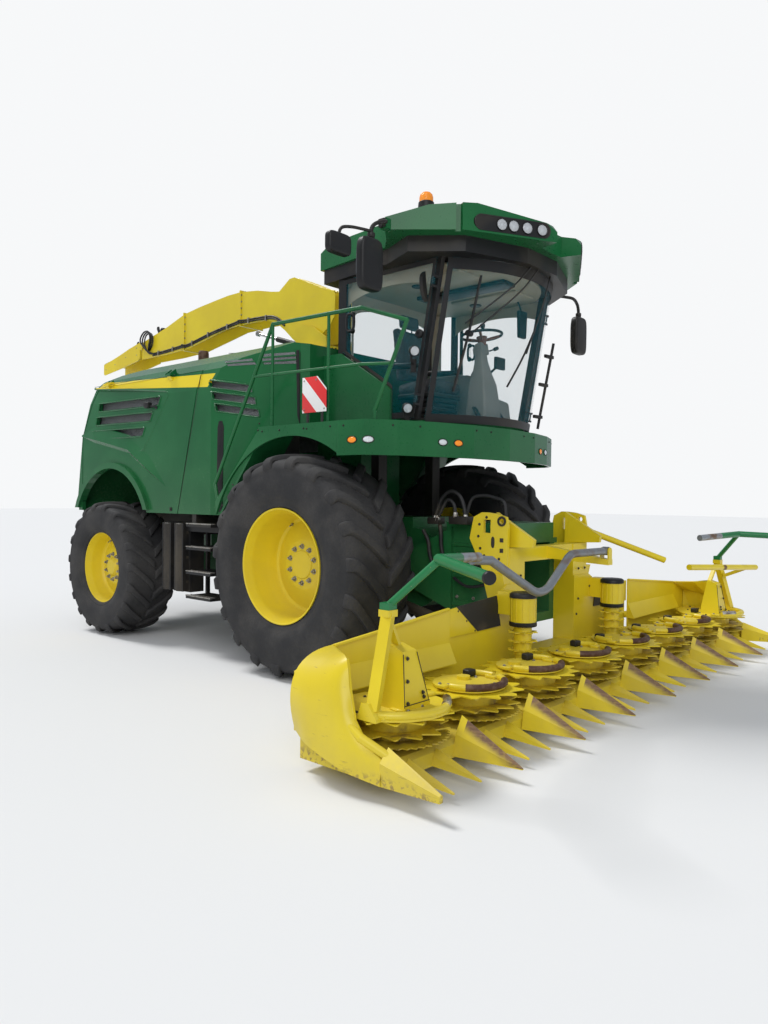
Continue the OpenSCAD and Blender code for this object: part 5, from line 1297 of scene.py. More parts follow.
outline = [(-0.175, 2.335), (-0.175, 2.64), (-0.365, 2.64), (-0.475, 2.53), (-0.475, 2.335)]
done(plate("x", outline, -1.504, -1.501, 0.001), "warning_board", "chassis", "dark_frame", board.material)
backing = plate("x", [(y * 1.01 + 0.003, z * 1.01 - 0.025) for y, z in outline], -1.5008, -1.4965)
legs = [slab("x", (y, y + 0.03), (2.225, 2.60), (-1.4962, -1.4905), 0.001) for y in (-0.43, -0.25)]
done([backing] + legs, "warning_board_back", "chassis", "dark_frame")
spots = [((-1.5045, y, z), (-1, 0, 0))
         for y, z in ((-0.20, 2.36), (-0.20, 2.61), (-0.45, 2.36), (-0.35, 2.61))]
bolts("warning_board_rivets", spots, 0.006, "chassis", *PLATED)

# %% [markdown]
# ## Platform skirt
# Under the cab the skirt carries pairs of small lamps, one orange and one clear, and a
# row of countersunk screws. The tread plate on the deck has raised ribs.

# %% Skirt lamps, screws and tread plate
SKIRT = [(-1.50, 0.43), (-1.50, -0.62), (-1.465, -0.88), (-1.245, -1.045), (-0.905, -1.188),
         (-0.505, -1.288), (0, -1.328)]


def on_skirt(reach):
    """A point and an outward direction at a distance along the skirt from its near back corner."""
    for (ax, ay), (bx, by) in zip(SKIRT, SKIRT[1:]):
        a, b = Vector((ax, ay, 0)), Vector((bx, by, 0))
        length = (b - a).length
        if reach <= length:
            way = (b - a) / length
            return a + way * reach, Vector((way.y, -way.x, 0))
        reach -= length
    return Vector((0, -1.328, 0)), Vector((0, -1, 0))


clear_parts, amber_parts, rims = [], [], []
for reach, kind in ((1.19, "amber"), (1.345, "clear"), (2.02, "clear"), (2.19, "amber")):
    spot, way = on_skirt(reach)
    for sign in (-1, 1):
        move = facing(place(-spot.x * sign, spot.y, 2.085), (-way.x * sign, way.y, 0))
        bpy.ops.mesh.primitive_uv_sphere_add(segments=20, ring_count=10, radius=1, location=(0, 0, 0))
        lens_dome = bpy.context.object
        lens_dome.data.transform(move @ Matrix.Diagonal((0.046, 0.026, 0.012, 1)))
        rim = turned([(0.0, 0.030), (0.0, 0.034), (0.006, 0.034), (0.008, 0.030)], ORIGIN, "z", 24)
        rim.data.transform(move @ Matrix.Diagonal((1.5, 0.9, 1, 1)))
        rims.append(rim)
        (amber_parts if kind == "amber" else clear_parts).append(lens_dome)
done(amber_parts, "skirt_lamps_amber", "chassis", "lamp", amber.material, 60)
done(clear_parts, "skirt_lamps_clear", "chassis", "lamp", lamp_lens.material, 60)
done(rims, "skirt_lamp_rims", "chassis", "black_plastic")

spots = []
for reach in (0.06, 0.30, 0.62, 0.95, 1.10, 1.55, 1.80, 2.40, 2.60):
    spot, way = on_skirt(reach)
    for sign in (-1, 1):
        spots.append(((spot.x * -sign, spot.y, 2.205), (way.x * -sign, way.y, 0)))
for y, z in ((0.41, 2.28), (0.43, 2.22), (0.80, 1.72), (0.96, 1.52), (-0.25, 2.27), (-0.23, 2.20)):
    spots += [((sign * 1.5, y, z), (sign, 0, 0)) for sign in (-1, 1)]
bolts("skirt_screws", spots, 0.007, "chassis", "dark_frame")

leaf = outward(bent_bar(6, lambda u, s, t: Vector((
    (u - 0.5) * 0.034, s * 0.0045 * (1 - abs(2 * u - 1) ** 3), 0.003 * t - 0.0003))))
moves = []
for row in range(9):
    for k in range(11):
        for sign in (-1, 1):
            spot = place(sign * (1.035 + 0.048 * row), -0.72 + 0.10 * k, 2.2505)
            moves.append(Matrix.Translation(spot) @ Matrix.Rotation(0.7 if (row + k) % 2 else -0.7, 4, "Z"))
done(copied(leaf, moves), "deck_tread", "chassis", "green")

# %% [markdown]
# ## Ladder and side boxes
# The ladder's treads have bright worn noses with teeth, and the boxes between the wheels
# are covered by half-round ribs.

# %% Ladder noses and ribbed covers
TREADS = (0.59, 0.84, 1.09, 1.325)
noses = [slab("x", (1.176, 1.604), (z - 0.004, z + 0.006), (sign * 1.452, sign * 1.484), 0.003)
         for z in TREADS for sign in (-1, 1)]
stud = turned([(0, 0), (0, 0.010), (0.006, 0.008), (0.006, 0)], ORIGIN, "z", 8)
noses.append(copied(stud, [Matrix.Translation(place(sign * 1.42, 1.20 + 0.03 * k, z + 0.0005))
                           for z in TREADS for sign in (-1, 1) for k in range(14)]))
done(noses, "ladder_noses", "chassis", "grey_steel", zinc.material)

covers = []
for sign in (-1, 1):
    for y in (1.872, 2.102):
        covers.append(turned([(-0.36, 0.0), (-0.36, 0.070), (-0.352, 0.0805), (0.352, 0.0805), (0.36, 0.070),
                              (0.36, 0.0)], place(sign * 1.335, y, 0.96), "z", 40))
        covers += [turned([(-0.014, 0.078), (-0.014, 0.0835), (0.014, 0.0835), (0.014, 0.078)],
                          place(sign * 1.335, y, z), "z", 40) for z in (0.70, 0.96, 1.22)]
done(covers, "side_cover_ribs", "chassis", "dark_frame")

# %% [markdown]
# Nothing in the picture shows the back, so it has what such a machine needs there and no
# more: a louvred air outlet, lamps in pairs, a plate holder, and the tow pin's handle.

# %% Back of the machine
def rear_wall(z):
    """Where the leaning rear wall stands at a height."""
    return 4.075 - 0.153 * (z - 1.56)


slats = []
for k in range(9):
    middle = 1.72 + 0.058 * k
    slats.append(outward(bent_bar(20, lambda u, s, t, z=middle: place(
        (u - 0.5) * 1.56,
        rear_wall(z) + 0.016 + s * 0.010 + (0.010 if t else -0.006) * (1 - abs(2 * u - 1) ** 14),
        z + (0.030 if t else -0.012) + s * 0.003))))
done(slats, "rear_louvres", "chassis", "black_plastic")
# A dark plate behind the slats stands in for the dark inside of the air outlet: painted shade.
low, high = rear_wall(1.66), rear_wall(2.26)
backing = plate("x", [(low + 0.008, 1.66), (low + 0.014, 1.66), (high + 0.014, 2.26), (high + 0.008, 2.26)],
                -0.80, 0.80, 0.001)
done(backing, "rear_louvre_back", "chassis", "dark_frame")
red_lens = Finish("red_lens")
grid = red_lens.add("ShaderNodeTexWave", {"bands_direction": "Z"}, {"Vector": red_lens.spot, "Scale": 55})
red_lens.set(Base_Color=red_lens.blend(grid, (0.62, 0.015, 0.012), (0.74, 0.05, 0.03)), Roughness=0.15,
             Normal=red_lens.bump(grid, 0.3, 0.002))
for side, sign in both:
    case = slab("y", (sign * 1.06, sign * 1.30), (2.36, 2.50), (3.90, 3.985), 0.012, 3)
    done(case, "tail_lamp_case_" + side, "chassis", "black_plastic")
    for k, finish in enumerate((amber, red_lens, lamp_lens)):
        lens_piece = turned([(0.0, 0), (0.0, 0.036), (0.010, 0.036), (0.016, 0.026), (0.018, 0)],
                            place(sign * (1.25 - 0.074 * k), 3.985, 2.43), "y", 28)
        done(lens_piece, "tail_lamp_%s_%d" % (side, k), "chassis", "lamp", finish.material, 60)
plate_holder = slab("y", (-0.16, 0.16), (2.40, 2.50), (3.93, 3.955), 0.004)
done(plate_holder, "plate_holder", "chassis", "black_plastic")
pin = turned([(-0.12, 0), (-0.12, 0.0145), (0.155, 0.0145), (0.160, 0.010), (0.160, 0)],
             place(0, 4.48, 1.055), "z", 20)
handle = pipe([(0, 4.48, 1.205), (0.03, 4.48, 1.235), (0.0, 4.48, 1.262), (-0.03, 4.48, 1.235),
               (0, 4.48, 1.205)], 0.006, 8)
done([pin, handle], "tow_pin", "chassis", *PLATED)

# %% [markdown]
# ## Seams
# Thin dark seams show where the pressed panels meet: along the side panels' upper edges,
# down the cowl's front corners and over the hood.

# %% Seams, filler cap and exhaust
seams = []
for sign in (-1, 1):
    seams.append(pipe([(sign * 1.3995, 3.66, 2.905), (sign * 1.401, 2.6, 2.905)], 0.0025, 6, soft=False))
    seams.append(pipe([(sign * 1.102, 0.305, 2.30), (sign * 1.102, 0.305, 2.98)], 0.003, 6, soft=False))
    seams.append(pipe([(sign * 1.05, 1.483, 3.113), (sign * 0.70, 1.483, 3.172),
                       (sign * 0.32, 1.483, 3.186)], 0.003, 6))
done(seams, "panel_seams", "chassis", "black_plastic")
cap = turned([(0, 0), (0, 0.075), (0.020, 0.078), (0.034, 0.070), (0.040, 0.050), (0.042, 0)],
             place(0.75, 1.72, 3.155), "z", 36)
grip = slab("z", (0.69, 0.81), (1.705, 1.735), (3.19, 3.215), 0.005)
done([cap, grip], "filler_cap", "chassis", "black_plastic")
exhaust = turned([(0, 0.050), (0, 0.062), (0.16, 0.062), (0.19, 0.058), (0.20, 0.050), (0.19, 0.046),
                  (0.02, 0.044)], place(-0.62, 2.55, 3.125), "z", 36)
done(exhaust, "exhaust_outlet", "chassis", "engine_metal", worn_steel.material)

# %% [markdown]
# ## The header's paint
# The header works in soil and stalks, so its yellow wears. The ridge of each divider is
# rubbed down to brown, low edges are dusty, and scratches run along the end shields. All
# of that is one recipe that reads where a point lies.

# %% Worn yellow paint and polished steel
ROW, ROTOR_LINE = 0.75, -2.24
ROTORS = {n: (n - 4.5) * ROW for n in range(1, 9)}
header_yellow = Finish("header_yellow")
hy, hz = header_yellow.y - SHIFT, header_yellow.z
ax = header_yellow.add("ShaderNodeMath", {"operation": "ABSOLUTE"}, {0: header_yellow.x})
slow = header_yellow.noise(1.7, 4)
fine = header_yellow.noise(34, 4)
speck = header_yellow.noise(75, 5, 0.7)
streak = header_yellow.noise(7, 4, 0.6, at=header_yellow.stretched((1, 1, 14)))
pitch = ax % ROW
off_ridge = header_yellow.add("ShaderNodeMath", {"operation": "MINIMUM"}, {0: pitch, 1: ROW - pitch})
near_ridge = 1 - (off_ridge + (hy + 2.88) * -0.03).ramp(0.004, 0.034)
ahead = hy < -2.50
ridge_wear = near_ridge * ahead * (hz > 0.085) * (ax < 2.6) * (fine * 0.9 + 0.55)
scratch = (streak.ramp(0.66, 0.72) * (ax > 2.95)) * 0.5
shield_edge = (ax > 2.93) * (1 - hz.ramp(0.10, 0.17)) * fine.ramp(0.50, 0.62) * 0.7
drip = speck.ramp(0.70, 0.74) * 0.8
paint_yellow = header_yellow.blend(slow.ramp(0.3, 0.7), (0.80, 0.625, 0.016), (0.72, 0.55, 0.014))
worn = header_yellow.blend(streak.ramp(0.4, 0.6), (0.120, 0.052, 0.024), (0.21, 0.110, 0.050))
amount = header_yellow.add("ShaderNodeClamp", {}, {"Value": ridge_wear + scratch + shield_edge + drip})
up = header_yellow.split(header_yellow.add("ShaderNodeNewGeometry", {}, {}, 1))[2]
settled = (1 - hz.ramp(0.0, 0.7)) * 0.30 + up.ramp(0.4, 0.95) * 0.20
film = settled * (fine * 0.9 + 0.35) * (slow.ramp(0.3, 0.7) * 0.6 + 0.4)
header_yellow.set(Base_Color=header_yellow.blend(film, header_yellow.blend(amount, paint_yellow, worn),
                                                 DUST), Roughness=film * 0.4 + (amount * 0.2 + 0.30),
                  Normal=header_yellow.bump(slow * 0.6 - amount * 0.15 + fine * 0.05, 0.25, 0.006))
WORN_YELLOW = ("yellow", header_yellow.material)

polished = Finish("polished_steel")
rub = polished.noise(14, 4, 0.6, at=polished.stretched((0.3, 1, 1)))
polished.set(Base_Color=polished.blend(rub.ramp(0.42, 0.62), (0.52, 0.50, 0.47), (0.16, 0.10, 0.065)),
             Metallic=0.75, Roughness=rub * 0.35 + 0.16)
pusher_grey = Finish("pusher_grey")
rub = pusher_grey.noise(6, 4)
pusher_grey.set(Base_Color=pusher_grey.blend(rub.ramp(0.50, 0.66) * 0.55, (0.21, 0.225, 0.24),
                                             (0.16, 0.085, 0.045)), Metallic=0.35,
                Roughness=rub * 0.25 + 0.22)
rotor_yellow = Finish("rotor_yellow")
grime = rotor_yellow.noise(9, 5, 0.6)
# Lower down the rotors darken to brown: dirt, and in part painted shade of the dark space under the caps and
# between the dividers.
low = 1 - rotor_yellow.z.ramp(0.20, 0.40)
speck = rotor_yellow.noise(55, 4, 0.7)
soil = grime.ramp(0.50, 0.72) * 0.5 + speck.ramp(0.62, 0.70) * 0.3 + low * (grime * 0.9 + 0.1)
rotor_yellow.set(Base_Color=rotor_yellow.blend(soil, (0.76, 0.585, 0.015), (0.150, 0.085, 0.035)),
                 Metallic=0.15, Roughness=grime * 0.3 + 0.32, Normal=rotor_yellow.bump(speck, 0.3, 0.003))
for name in ("header_frame", "header_points", "wing_right", "wing_left", "side_guide", "drum_right",
             "drum_left"):
    paint(nodes[name], header_yellow.material)
for n in ROTORS:
    paint(nodes["rotor_%d" % n], rotor_yellow.material)
paint(nodes["crop_pusher"], pusher_grey.material)

# %% [markdown]
# ## Rotor caps and bows
# Over each rotor a fixed cap carries a bow of round bar. Where stalks slide past it the
# bow's paint is gone. Each cap has a rubber pad, a triangle of plate and dome-headed
# bolts.

# %% Caps, pads, worn bows and bolts
CAP_TOP = 0.405
wing_of = {n: "header_wing_right" if n < 3 else "header_wing_left" if n > 6 else "feeder" for n in ROTORS}
cap_bolts, pads, sleeves, hubs = ({name: [] for name in wing_of.values()} for _ in range(4))


def round_rotor(x, reach, degrees, height=0.0):
    """A point round a rotor's axle, seen from the front axle."""
    turn = math.radians(degrees)
    return Vector((x + reach * math.cos(turn), ROTOR_LINE + reach * math.sin(turn), height))


def bow_arc(x, radius, low, high, height):
    return [round_rotor(x, radius, low + (high - low) * k / 14, height) for k in range(15)]


def moved(outline, x, y):
    return [(x + u, y + v) for u, v in outline]


PAD = [(-0.034, -0.010), (0.034, -0.010), (0.040, 0.052), (0.022, 0.078), (-0.022, 0.078), (-0.040, 0.052)]
KNOB = [(-0.044, -0.030), (0.036, -0.036), (0.044, 0.020), (0.012, 0.040), (-0.036, 0.030)]
STEP = [(-0.11, -0.11), (-0.075, -0.14), (-0.02, -0.145), (-0.03, -0.06), (-0.10, -0.05)]

for n, x in ROTORS.items():
    body = wing_of[n]
    side = -1 if n < 5 else 1
    outer = n in (1, 8)
    lean, reach = (0, 0.312) if outer else (side * 10, 0.230)
    if not outer:
        span = (-150, -50) if side < 0 else (-130, -30)
        sleeves[body].append(pipe(bow_arc(x, 0.230, *span, 0.423), 0.0243, 24, soft=False))
        back = (-10, 30) if side < 0 else (150, 190)
        hubs[body].append(pipe(bow_arc(x, 0.229, *back, 0.423), 0.0215, 20, soft=False))
    for turn in (-146 if outer else -174, -6):
        foot = round_rotor(x, reach, turn + lean)
        hubs[body].append(plate("z", moved(PAD, foot.x, foot.y), CAP_TOP, 0.424, 0.004))
        cap_bolts[body].append(((foot.x, foot.y + 0.050, 0.424), (0, 0, 1)))
    foot = round_rotor(x, 0.192, 36 if side < 0 else 144)
    pads[body].append(plate("z", moved(KNOB, foot.x, foot.y), CAP_TOP + 0.0002, 0.452, 0.010, 3))
    hubs[body].append(plate("z", moved(STEP, x, ROTOR_LINE), CAP_TOP, 0.4135, 0.003))
    cap_bolts[body] += [(round_rotor(x, 0.165, turn, CAP_TOP), AXES["z"]) for turn in (20, 160, 250, 300)]
for body, word in (("feeder", "middle"), ("header_wing_right", "right"), ("header_wing_left", "left")):
    done(pads[body], "cap_pads_" + word, body, "black_plastic", smooth=50)
    done(sleeves[body], "bow_wear_" + word, body, "grey_steel", worn_steel.material, 60)
    done(hubs[body], "cap_plates_" + word, body, *WORN_YELLOW)
    bolts("cap_bolts_" + word, cap_bolts[body], 0.010, body, *PLATED)
for side, sign in both:
    span = (-139.5, -112) if sign > 0 else (-40.5, -68)
    polish = pipe(bow_arc(sign * 3.5 * ROW, 0.312, *span, 0.435), 0.0258, 14, soft=False)
    done(polish, "bow_polish_" + side, "header_wing_" + side, "rod_steel", polished.material, 60)

# %% [markdown]
# ## Rotor drums
# The solids hold each rotor's toothed plates and its saw disc. Between the plates a drum
# of wrapped sheet hides the gearbox, and three narrow bands ring it.

# %% Bands round the rotor drums
for n, x in ROTORS.items():
    rings = [turned([(z, 0.189), (z, 0.1925), (z + 0.010, 0.1925), (z + 0.010, 0.189)],
                    place(x, ROTOR_LINE, 0), "z", 48) for z in (0.225, 0.290, 0.345)]
    done(rings, "rotor_bands_%d" % n, "row_rotor_%d" % n, "yellow", rotor_yellow.material)

# %% [markdown]
# ## Feed drums, brackets and flaps
# The tall feed drums wear a black cap and a black ring. The lift brackets behind them
# have slots and eyes for other carriers. A black rubber flap closes the gap where each
# wing folds up.

# %% Drum caps, bracket eyes and flaps
for side, sign in both:
    x, y = sign * 0.78, -1.97
    cover = turned([(0.842, 0.101), (0.842, 0.1075), (0.868, 0.1075), (0.878, 0.100), (0.8835, 0.080),
                    (0.8850, 0.035), (0.8850, 0), (0.8825, 0), (0.8825, 0.090), (0.8705, 0.1012)],
                   place(x, y, 0), "z", 40)
    foot = turned([(0.620, 0.060), (0.620, 0.106), (0.626, 0.109), (0.648, 0.109), (0.654, 0.1015),
                   (0.654, 0.0995), (0.6249, 0.0995), (0.6249, 0.060)], place(x, y, 0), "z", 40)
    done([cover, foot], "drum_caps_" + side, "feeder", "black_plastic")
    ribs = [pipe([(x + 0.1005 * c, y + 0.1005 * s, z) for z in (0.66, 0.835)], 0.0035, 6, soft=False)
            for c, s in circle(12)]
    done(ribs, "drum_ribs_" + side, "feeder", *WORN_YELLOW)

    span = (sign * 0.6852, sign * 0.6885)
    rings = [turned([(0, 0.024), (0, 0.042), (sign * 0.006, 0.042), (sign * 0.008, 0.038),
                     (sign * 0.008, 0.024)], place(sign * 0.685, -1.700, 1.430), "x", 28)]
    slot_points = [(-1.615 + 0.017 * c, 1.255 + 0.036 * s + 0.012 * (1 if s > 0 else -1))
                   for c, s in circle(24)]
    rings.append(plate("x", slot_points, *span, 0.001))
    rings += [slab("x", (-1.717, -1.683), (z - 0.017, z + 0.017), span, 0.001) for z in (1.19, 1.275)]
    done(rings, "bracket_eyes_" + side, "feeder", "dark_frame")
    spots = [((sign * 0.6855, back, up), (sign, 0, 0))
             for back, up in ((-1.676, 1.12), (-1.60, 1.12), (-1.53, 1.14), (-1.49, 1.20), (-1.47, 1.30),
                              (-1.48, 1.40), (-1.55, 1.46))]
    spots += [((sign * out, -1.7705, up), (0, -1, 0)) for out, up in
              ((0.50, 0.98), (0.50, 0.70), (0.62, 0.98), (0.72, 0.80), (0.47, 0.56))]
    bolts("bracket_bolts_" + side, spots, 0.009, "feeder", "dark_frame")

    ledge = plate("y", [(sign * 1.130, 0.592), (sign * 1.405, 0.806), (sign * 1.498, 0.797),
                        (sign * 1.498, 0.592)], -1.7855, -1.7800, 0.002)
    done(ledge, "fold_ledge_" + side, "feeder", *WORN_YELLOW)
    flap = plate("y", [(sign * 0.80, 0.60), (sign * 0.86, 0.845), (sign * 1.39, 0.808),
                       (sign * 1.405, 0.790), (sign * 1.14, 0.592)], -1.7795, -1.7725)
    for corner in flap.data.vertices:
        share = (abs(corner.co.x) - 0.9) / 0.5
        corner.co.y -= 0.002 * math.sin(9 * share)
    done(flap, "fold_flap_" + side, "feeder", *RUBBER)
    studs = [stood([(-0.001, 0), (-0.001, 0.010), (-0.0008, 0.010), (0, 0.008), (0, 0)],
                   place(sign * out, -1.7857, up), (0, -1, 0))
             for out, up in ((1.385, 0.775), (1.275, 0.690), (1.165, 0.604))]
    done(studs, "fold_studs_" + side, "feeder", "dark_frame")

# %% [markdown]
# ## Wings
# The top edge of each wing wall is folded over and bolted. The box tower beside the
# outer rotor is welded from plates, and its hatch is bolted on. The guide tube is closed
# with black caps.

# %% Wall edges, tower hatch, tube caps
for side, sign in both:
    body = "header_wing_" + side
    lip = plate("y", [(sign * 1.52, 0.796), (sign * 1.52, 0.815), (sign * 2.685, 0.707),
                      (sign * 2.685, 0.688)], -1.812, -1.7875, 0.004)
    done(lip, "wall_edges_" + side, body, *WORN_YELLOW)
    seams = []
    for foot, top in ((2.477, 2.547), (2.700, 2.652)):
        seams.append(pipe([(sign * foot, -2.384, 0.42),
                           (sign * (foot + (top - foot) * 0.86), -2.336, 0.715)], 0.0028, 6, soft=False))
    seams.append(pipe([(sign * 2.475, -2.3835, 0.432), (sign * 2.702, -2.3835, 0.432)],
                      0.0028, 6, soft=False))
    done(seams, "tower_seams_" + side, body, "dark_frame")
    spots = [((sign * u, -2.3915 + (v - 0.42) * 0.174, v), (0, -1, 0.17)) for u, v in
             ((2.528, 0.46), (2.532, 0.485), (2.675, 0.445), (2.655, 0.565), (2.632, 0.690))]
    spots += [((sign * out, back, CAP_TOP), (0, 0, 1))
              for out, back in ((2.47, -2.10), (2.62, -2.00), (2.80, -2.05), (2.90, -2.20), (2.86, -2.36),
                                (2.38, -2.28), (2.90, -1.92))]
    bolts("wing_bolts_" + side, spots, 0.009, body, "dark_frame")
    cap = stood([(-0.022, 0.0315), (-0.022, 0.0335), (-0.004, 0.0335), (0.002, 0.030), (0.005, 0.016),
                 (0.005, 0), (0.001, 0), (0.001, 0.0315)], place(sign * 3.0, -3.15, 1.24),
                (sign * 0.552, -0.834, -0.04), 28)
    done(cap, "guide_caps_" + side, body, "black_plastic")

# %% [markdown]
# The end shield is a sheet pressed into one soft form. A quadratic bow through its lower
# edge, knee and top edge, drawn along a smooth line, lies a few millimetres over the
# folded sheet below it.

# %% End shield skins
SHIELD = [[(3.000, -1.800, 0.250), (3.055, -1.950, 0.210), (3.065, -2.100, 0.170), (3.065, -2.220, 0.140),
           (3.055, -2.300, 0.120), (3.035, -2.380, 0.105), (3.015, -2.490, 0.090)],
          [(3.000, -1.800, 0.585), (3.030, -1.950, 0.565), (3.048, -2.100, 0.520), (3.050, -2.200, 0.430),
           (3.045, -2.270, 0.330), (3.035, -2.360, 0.225), (3.015, -2.490, 0.150)],
          [(2.690, -1.788, 0.700), (2.820, -1.980, 0.705), (2.950, -2.170, 0.710), (2.985, -2.230, 0.550),
           (3.000, -2.280, 0.400), (3.000, -2.370, 0.285), (2.990, -2.490, 0.215)]]
lines = [soft_route(row) for row in SHIELD]
PROUD = Vector((0.0045, -0.0015, 0.0015))
for side, sign in both:
    bpy.ops.mesh.primitive_grid_add(x_subdivisions=len(lines[0]) - 1, y_subdivisions=14, size=1)
    skin = bpy.context.object
    for corner in skin.data.vertices:
        k, t = round((corner.co.x + 0.5) * (len(lines[0]) - 1)), corner.co.y + 0.5
        low, knee, top = (line[k] for line in lines)
        spot = low * (1 - t) * (1 - 2 * t) + knee * 4 * t * (1 - t) + top * t * (2 * t - 1) + PROUD
        corner.co = place(sign * spot.x, spot.y, spot.z)
    applied(skin, "SOLIDIFY", thickness=0.003, offset=0)
    done(outward(skin), "shield_skin_" + side, "header_wing_" + side, *WORN_YELLOW, 60)

# %% [markdown]
# The guide tube over each wing is green like its brace. Its inner end is rubbed down to
# bright steel, which the paint reads from the distance to the machine's middle.

# %% Two finishes on the guide
for side, sign in both:
    guide_paint = Finish("guide_paint_" + side)
    bare = (guide_paint.x * sign) < 2.27
    slow = guide_paint.noise(3, 4)
    speck = guide_paint.noise(60, 4, 0.7)
    rub = guide_paint.noise(9, 4)
    paint_here = guide_paint.blend(slow.ramp(0.3, 0.7), (0.006, 0.150, 0.042), (0.010, 0.185, 0.055))
    steel_here = guide_paint.blend(rub.ramp(0.45, 0.65), (0.28, 0.30, 0.32), (0.16, 0.10, 0.06))
    guide_paint.set(Base_Color=guide_paint.blend(speck.ramp(0.70, 0.74),
                                                 guide_paint.blend(bare, paint_here, steel_here), DUST),
                    Roughness=slow * 0.2 + 0.25, Metallic=bare * 0.35,
                    Normal=guide_paint.bump(slow, 0.1, 0.004))
    paint(nodes["wing_guide_" + side], guide_paint.material)

# %% [markdown]
# ## Spout
# The arm is folded from sheet. Raised ribs stiffen its cap, bolts ring both flanges, and
# hoses run along its underside to the flap. They end in a bunch of loops that gives the
# flap its travel. Each hose is clipped to the arm all along, so it is a rigid piece.

# %% Ribs and flange bolts
spout_yellow = Finish("spout_yellow")
slow = spout_yellow.noise(2.1, 4)
streak = spout_yellow.noise(6, 4, 0.6, at=spout_yellow.stretched((1, 0.5, 6)))
up = spout_yellow.split(spout_yellow.add("ShaderNodeNewGeometry", {}, {}, 1))[2]
settled = (up.ramp(0.3, 0.95) * 0.20 + 0.05) * (slow.ramp(0.3, 0.7) * 0.6 + 0.4)
film = settled + streak.ramp(0.60, 0.74) * 0.12
clean = spout_yellow.blend(slow.ramp(0.3, 0.7), (0.80, 0.625, 0.018), (0.74, 0.565, 0.015))
spout_yellow.set(Base_Color=spout_yellow.blend(film, clean, DUST),
                 Roughness=film * 0.5 + 0.28, Normal=spout_yellow.bump(slow + streak * 0.2, 0.15, 0.006))
for name in ("spout_arm", "spout_flap", "spout_turret"):
    paint(nodes[name], spout_yellow.material)

CAP = [(0.87, 3.858), (1.06, 3.922), (1.30, 4.030), (1.47, 4.102)]
ribs = []
for x in (-0.105, -0.060, -0.015, 0.035, 0.085):
    route = [(x, y, z - 0.004) for y, z in along_sides(CAP, (0.0, 0.34, 0.67), closed=False)]
    route.append((x, CAP[-1][0] - 0.01, CAP[-1][1] - 0.008))
    ribs.append(pipe(route, 0.011, 8, soft=False))
arm_lines = []
for sign in (-1, 1):
    for route in (((1.80, 3.74), (2.10, 3.80), (2.42, 3.82)), ((2.47, 3.82), (3.00, 3.80), (3.61, 3.735)),
                  ((3.67, 3.73), (4.10, 3.68), (4.60, 3.635))):
        arm_lines.append(pipe([(sign * 0.150, y, z) for y, z in route], 0.006, 6))
done(ribs + arm_lines, "spout_ribs", "spout_boom", "yellow", spout_yellow.material, 60)

spots = []
for y, low, high in ((2.44, 3.70, 4.10), (3.64, 3.555, 4.01)):
    for face in (-1, 1):
        for sign in (-1, 1):
            for k in range(5):
                z = low + (high - low) * (k + 0.5) / 5
                spots.append(((sign * 0.163, y + face * 0.0122, z), (0, face, 0)))
        for x in (-0.10, 0.0, 0.10):
            spots.append(((x, y + face * 0.0122, high + 0.007), (0, face, 0)))
bolts("flange_bolts", spots, 0.0095, "spout_boom", *PLATED)
TURRET = 1.11
spots = [((0.27 * c, TURRET + 0.27 * s, 3.2405), (0, 0, 1)) for c, s in circle(16)]
bolts("turret_bolts", spots, 0.014, "spout_base", *PLATED)


def tooth(turn):
    """One tooth of the ring that turns the spout."""
    def rule(u, s, t):
        reach, angle = 0.298 + 0.014 * u, turn + s * (0.030 - 0.012 * u)
        return place(reach * math.cos(angle), TURRET + reach * math.sin(angle), 3.203 + 0.028 * t)
    return bent_bar(1, rule)


gear = [tooth(2 * math.pi * k / 48) for k in range(48)]
done(outward(joined(gear)), "turret_teeth", "spout_base", "dark_frame")

# %% [markdown]
# The hoses leave the turret, climb beside the neck and run clipped along the arm's near
# side. At the flap's hinge they hang in loops, and two short rods work the flap.

# %% Hoses, clips and the flap's linkage
runs = []
for drop in (0.0, 0.024):
    runs.append(pipe([(-0.165, 1.62, 3.60 - drop), (-0.168, 1.80, 3.705 - drop),
                      (-0.166, 2.05, 3.735 - drop), (-0.166, 2.36, 3.745 - drop),
                      (-0.200, 2.44, 3.745 - drop), (-0.166, 2.52, 3.745 - drop),
                      (-0.166, 3.00, 3.690 - drop), (-0.166, 3.55, 3.600 - drop),
                      (-0.200, 3.64, 3.600 - drop), (-0.166, 3.73, 3.600 - drop),
                      (-0.166, 4.10, 3.580 - drop), (-0.166, 4.40, 3.575 - drop)], 0.0105, 8))
clips = []
for y, z in ((1.95, 3.712), (2.28, 3.730), (2.70, 3.712), (3.10, 3.665), (3.45, 3.602), (3.90, 3.578),
             (4.25, 3.566)):
    clips.append(plate("y", [(-0.148, z - 0.030), (-0.182, z - 0.030), (-0.185, z), (-0.182, z + 0.034),
                             (-0.148, z + 0.034)], y - 0.010, y + 0.010, 0.003))
done(runs, "spout_hoses", "spout_boom", *RUBBER, 60)
done(clips, "spout_clips", "spout_boom", *PLATED)
loops = []
for k in range(3):
    side = -0.175 - 0.022 * k
    loops.append(pipe([(-0.166, 4.36 + 0.02 * k, 3.572), (side, 4.50, 3.60 + 0.02 * k),
                       (side, 4.60 + 0.02 * k, 3.735 + 0.02 * k), (side, 4.56, 3.845 + 0.015 * k),
                       (side + 0.01, 4.46, 3.865 + 0.01 * k), (side, 4.39, 3.79), (side, 4.42, 3.68),
                       (-0.160, 4.52, 3.62)], 0.0105, 8))
done(loops, "spout_loops", "spout_boom", *RUBBER, 60)
arms = []
for x in (-0.105, 0.105):
    arms.append(plate("x", [(4.30, 3.835), (4.335, 3.825), (4.395, 3.925), (4.385, 3.955), (4.345, 3.955)],
                      x - 0.006, x + 0.006, 0.003))
motor = turned([(-0.055, 0), (-0.055, 0.030), (-0.045, 0.038), (0.045, 0.038), (0.055, 0.030), (0.055, 0)],
               place(0, 4.365, 3.915), "x", 28)
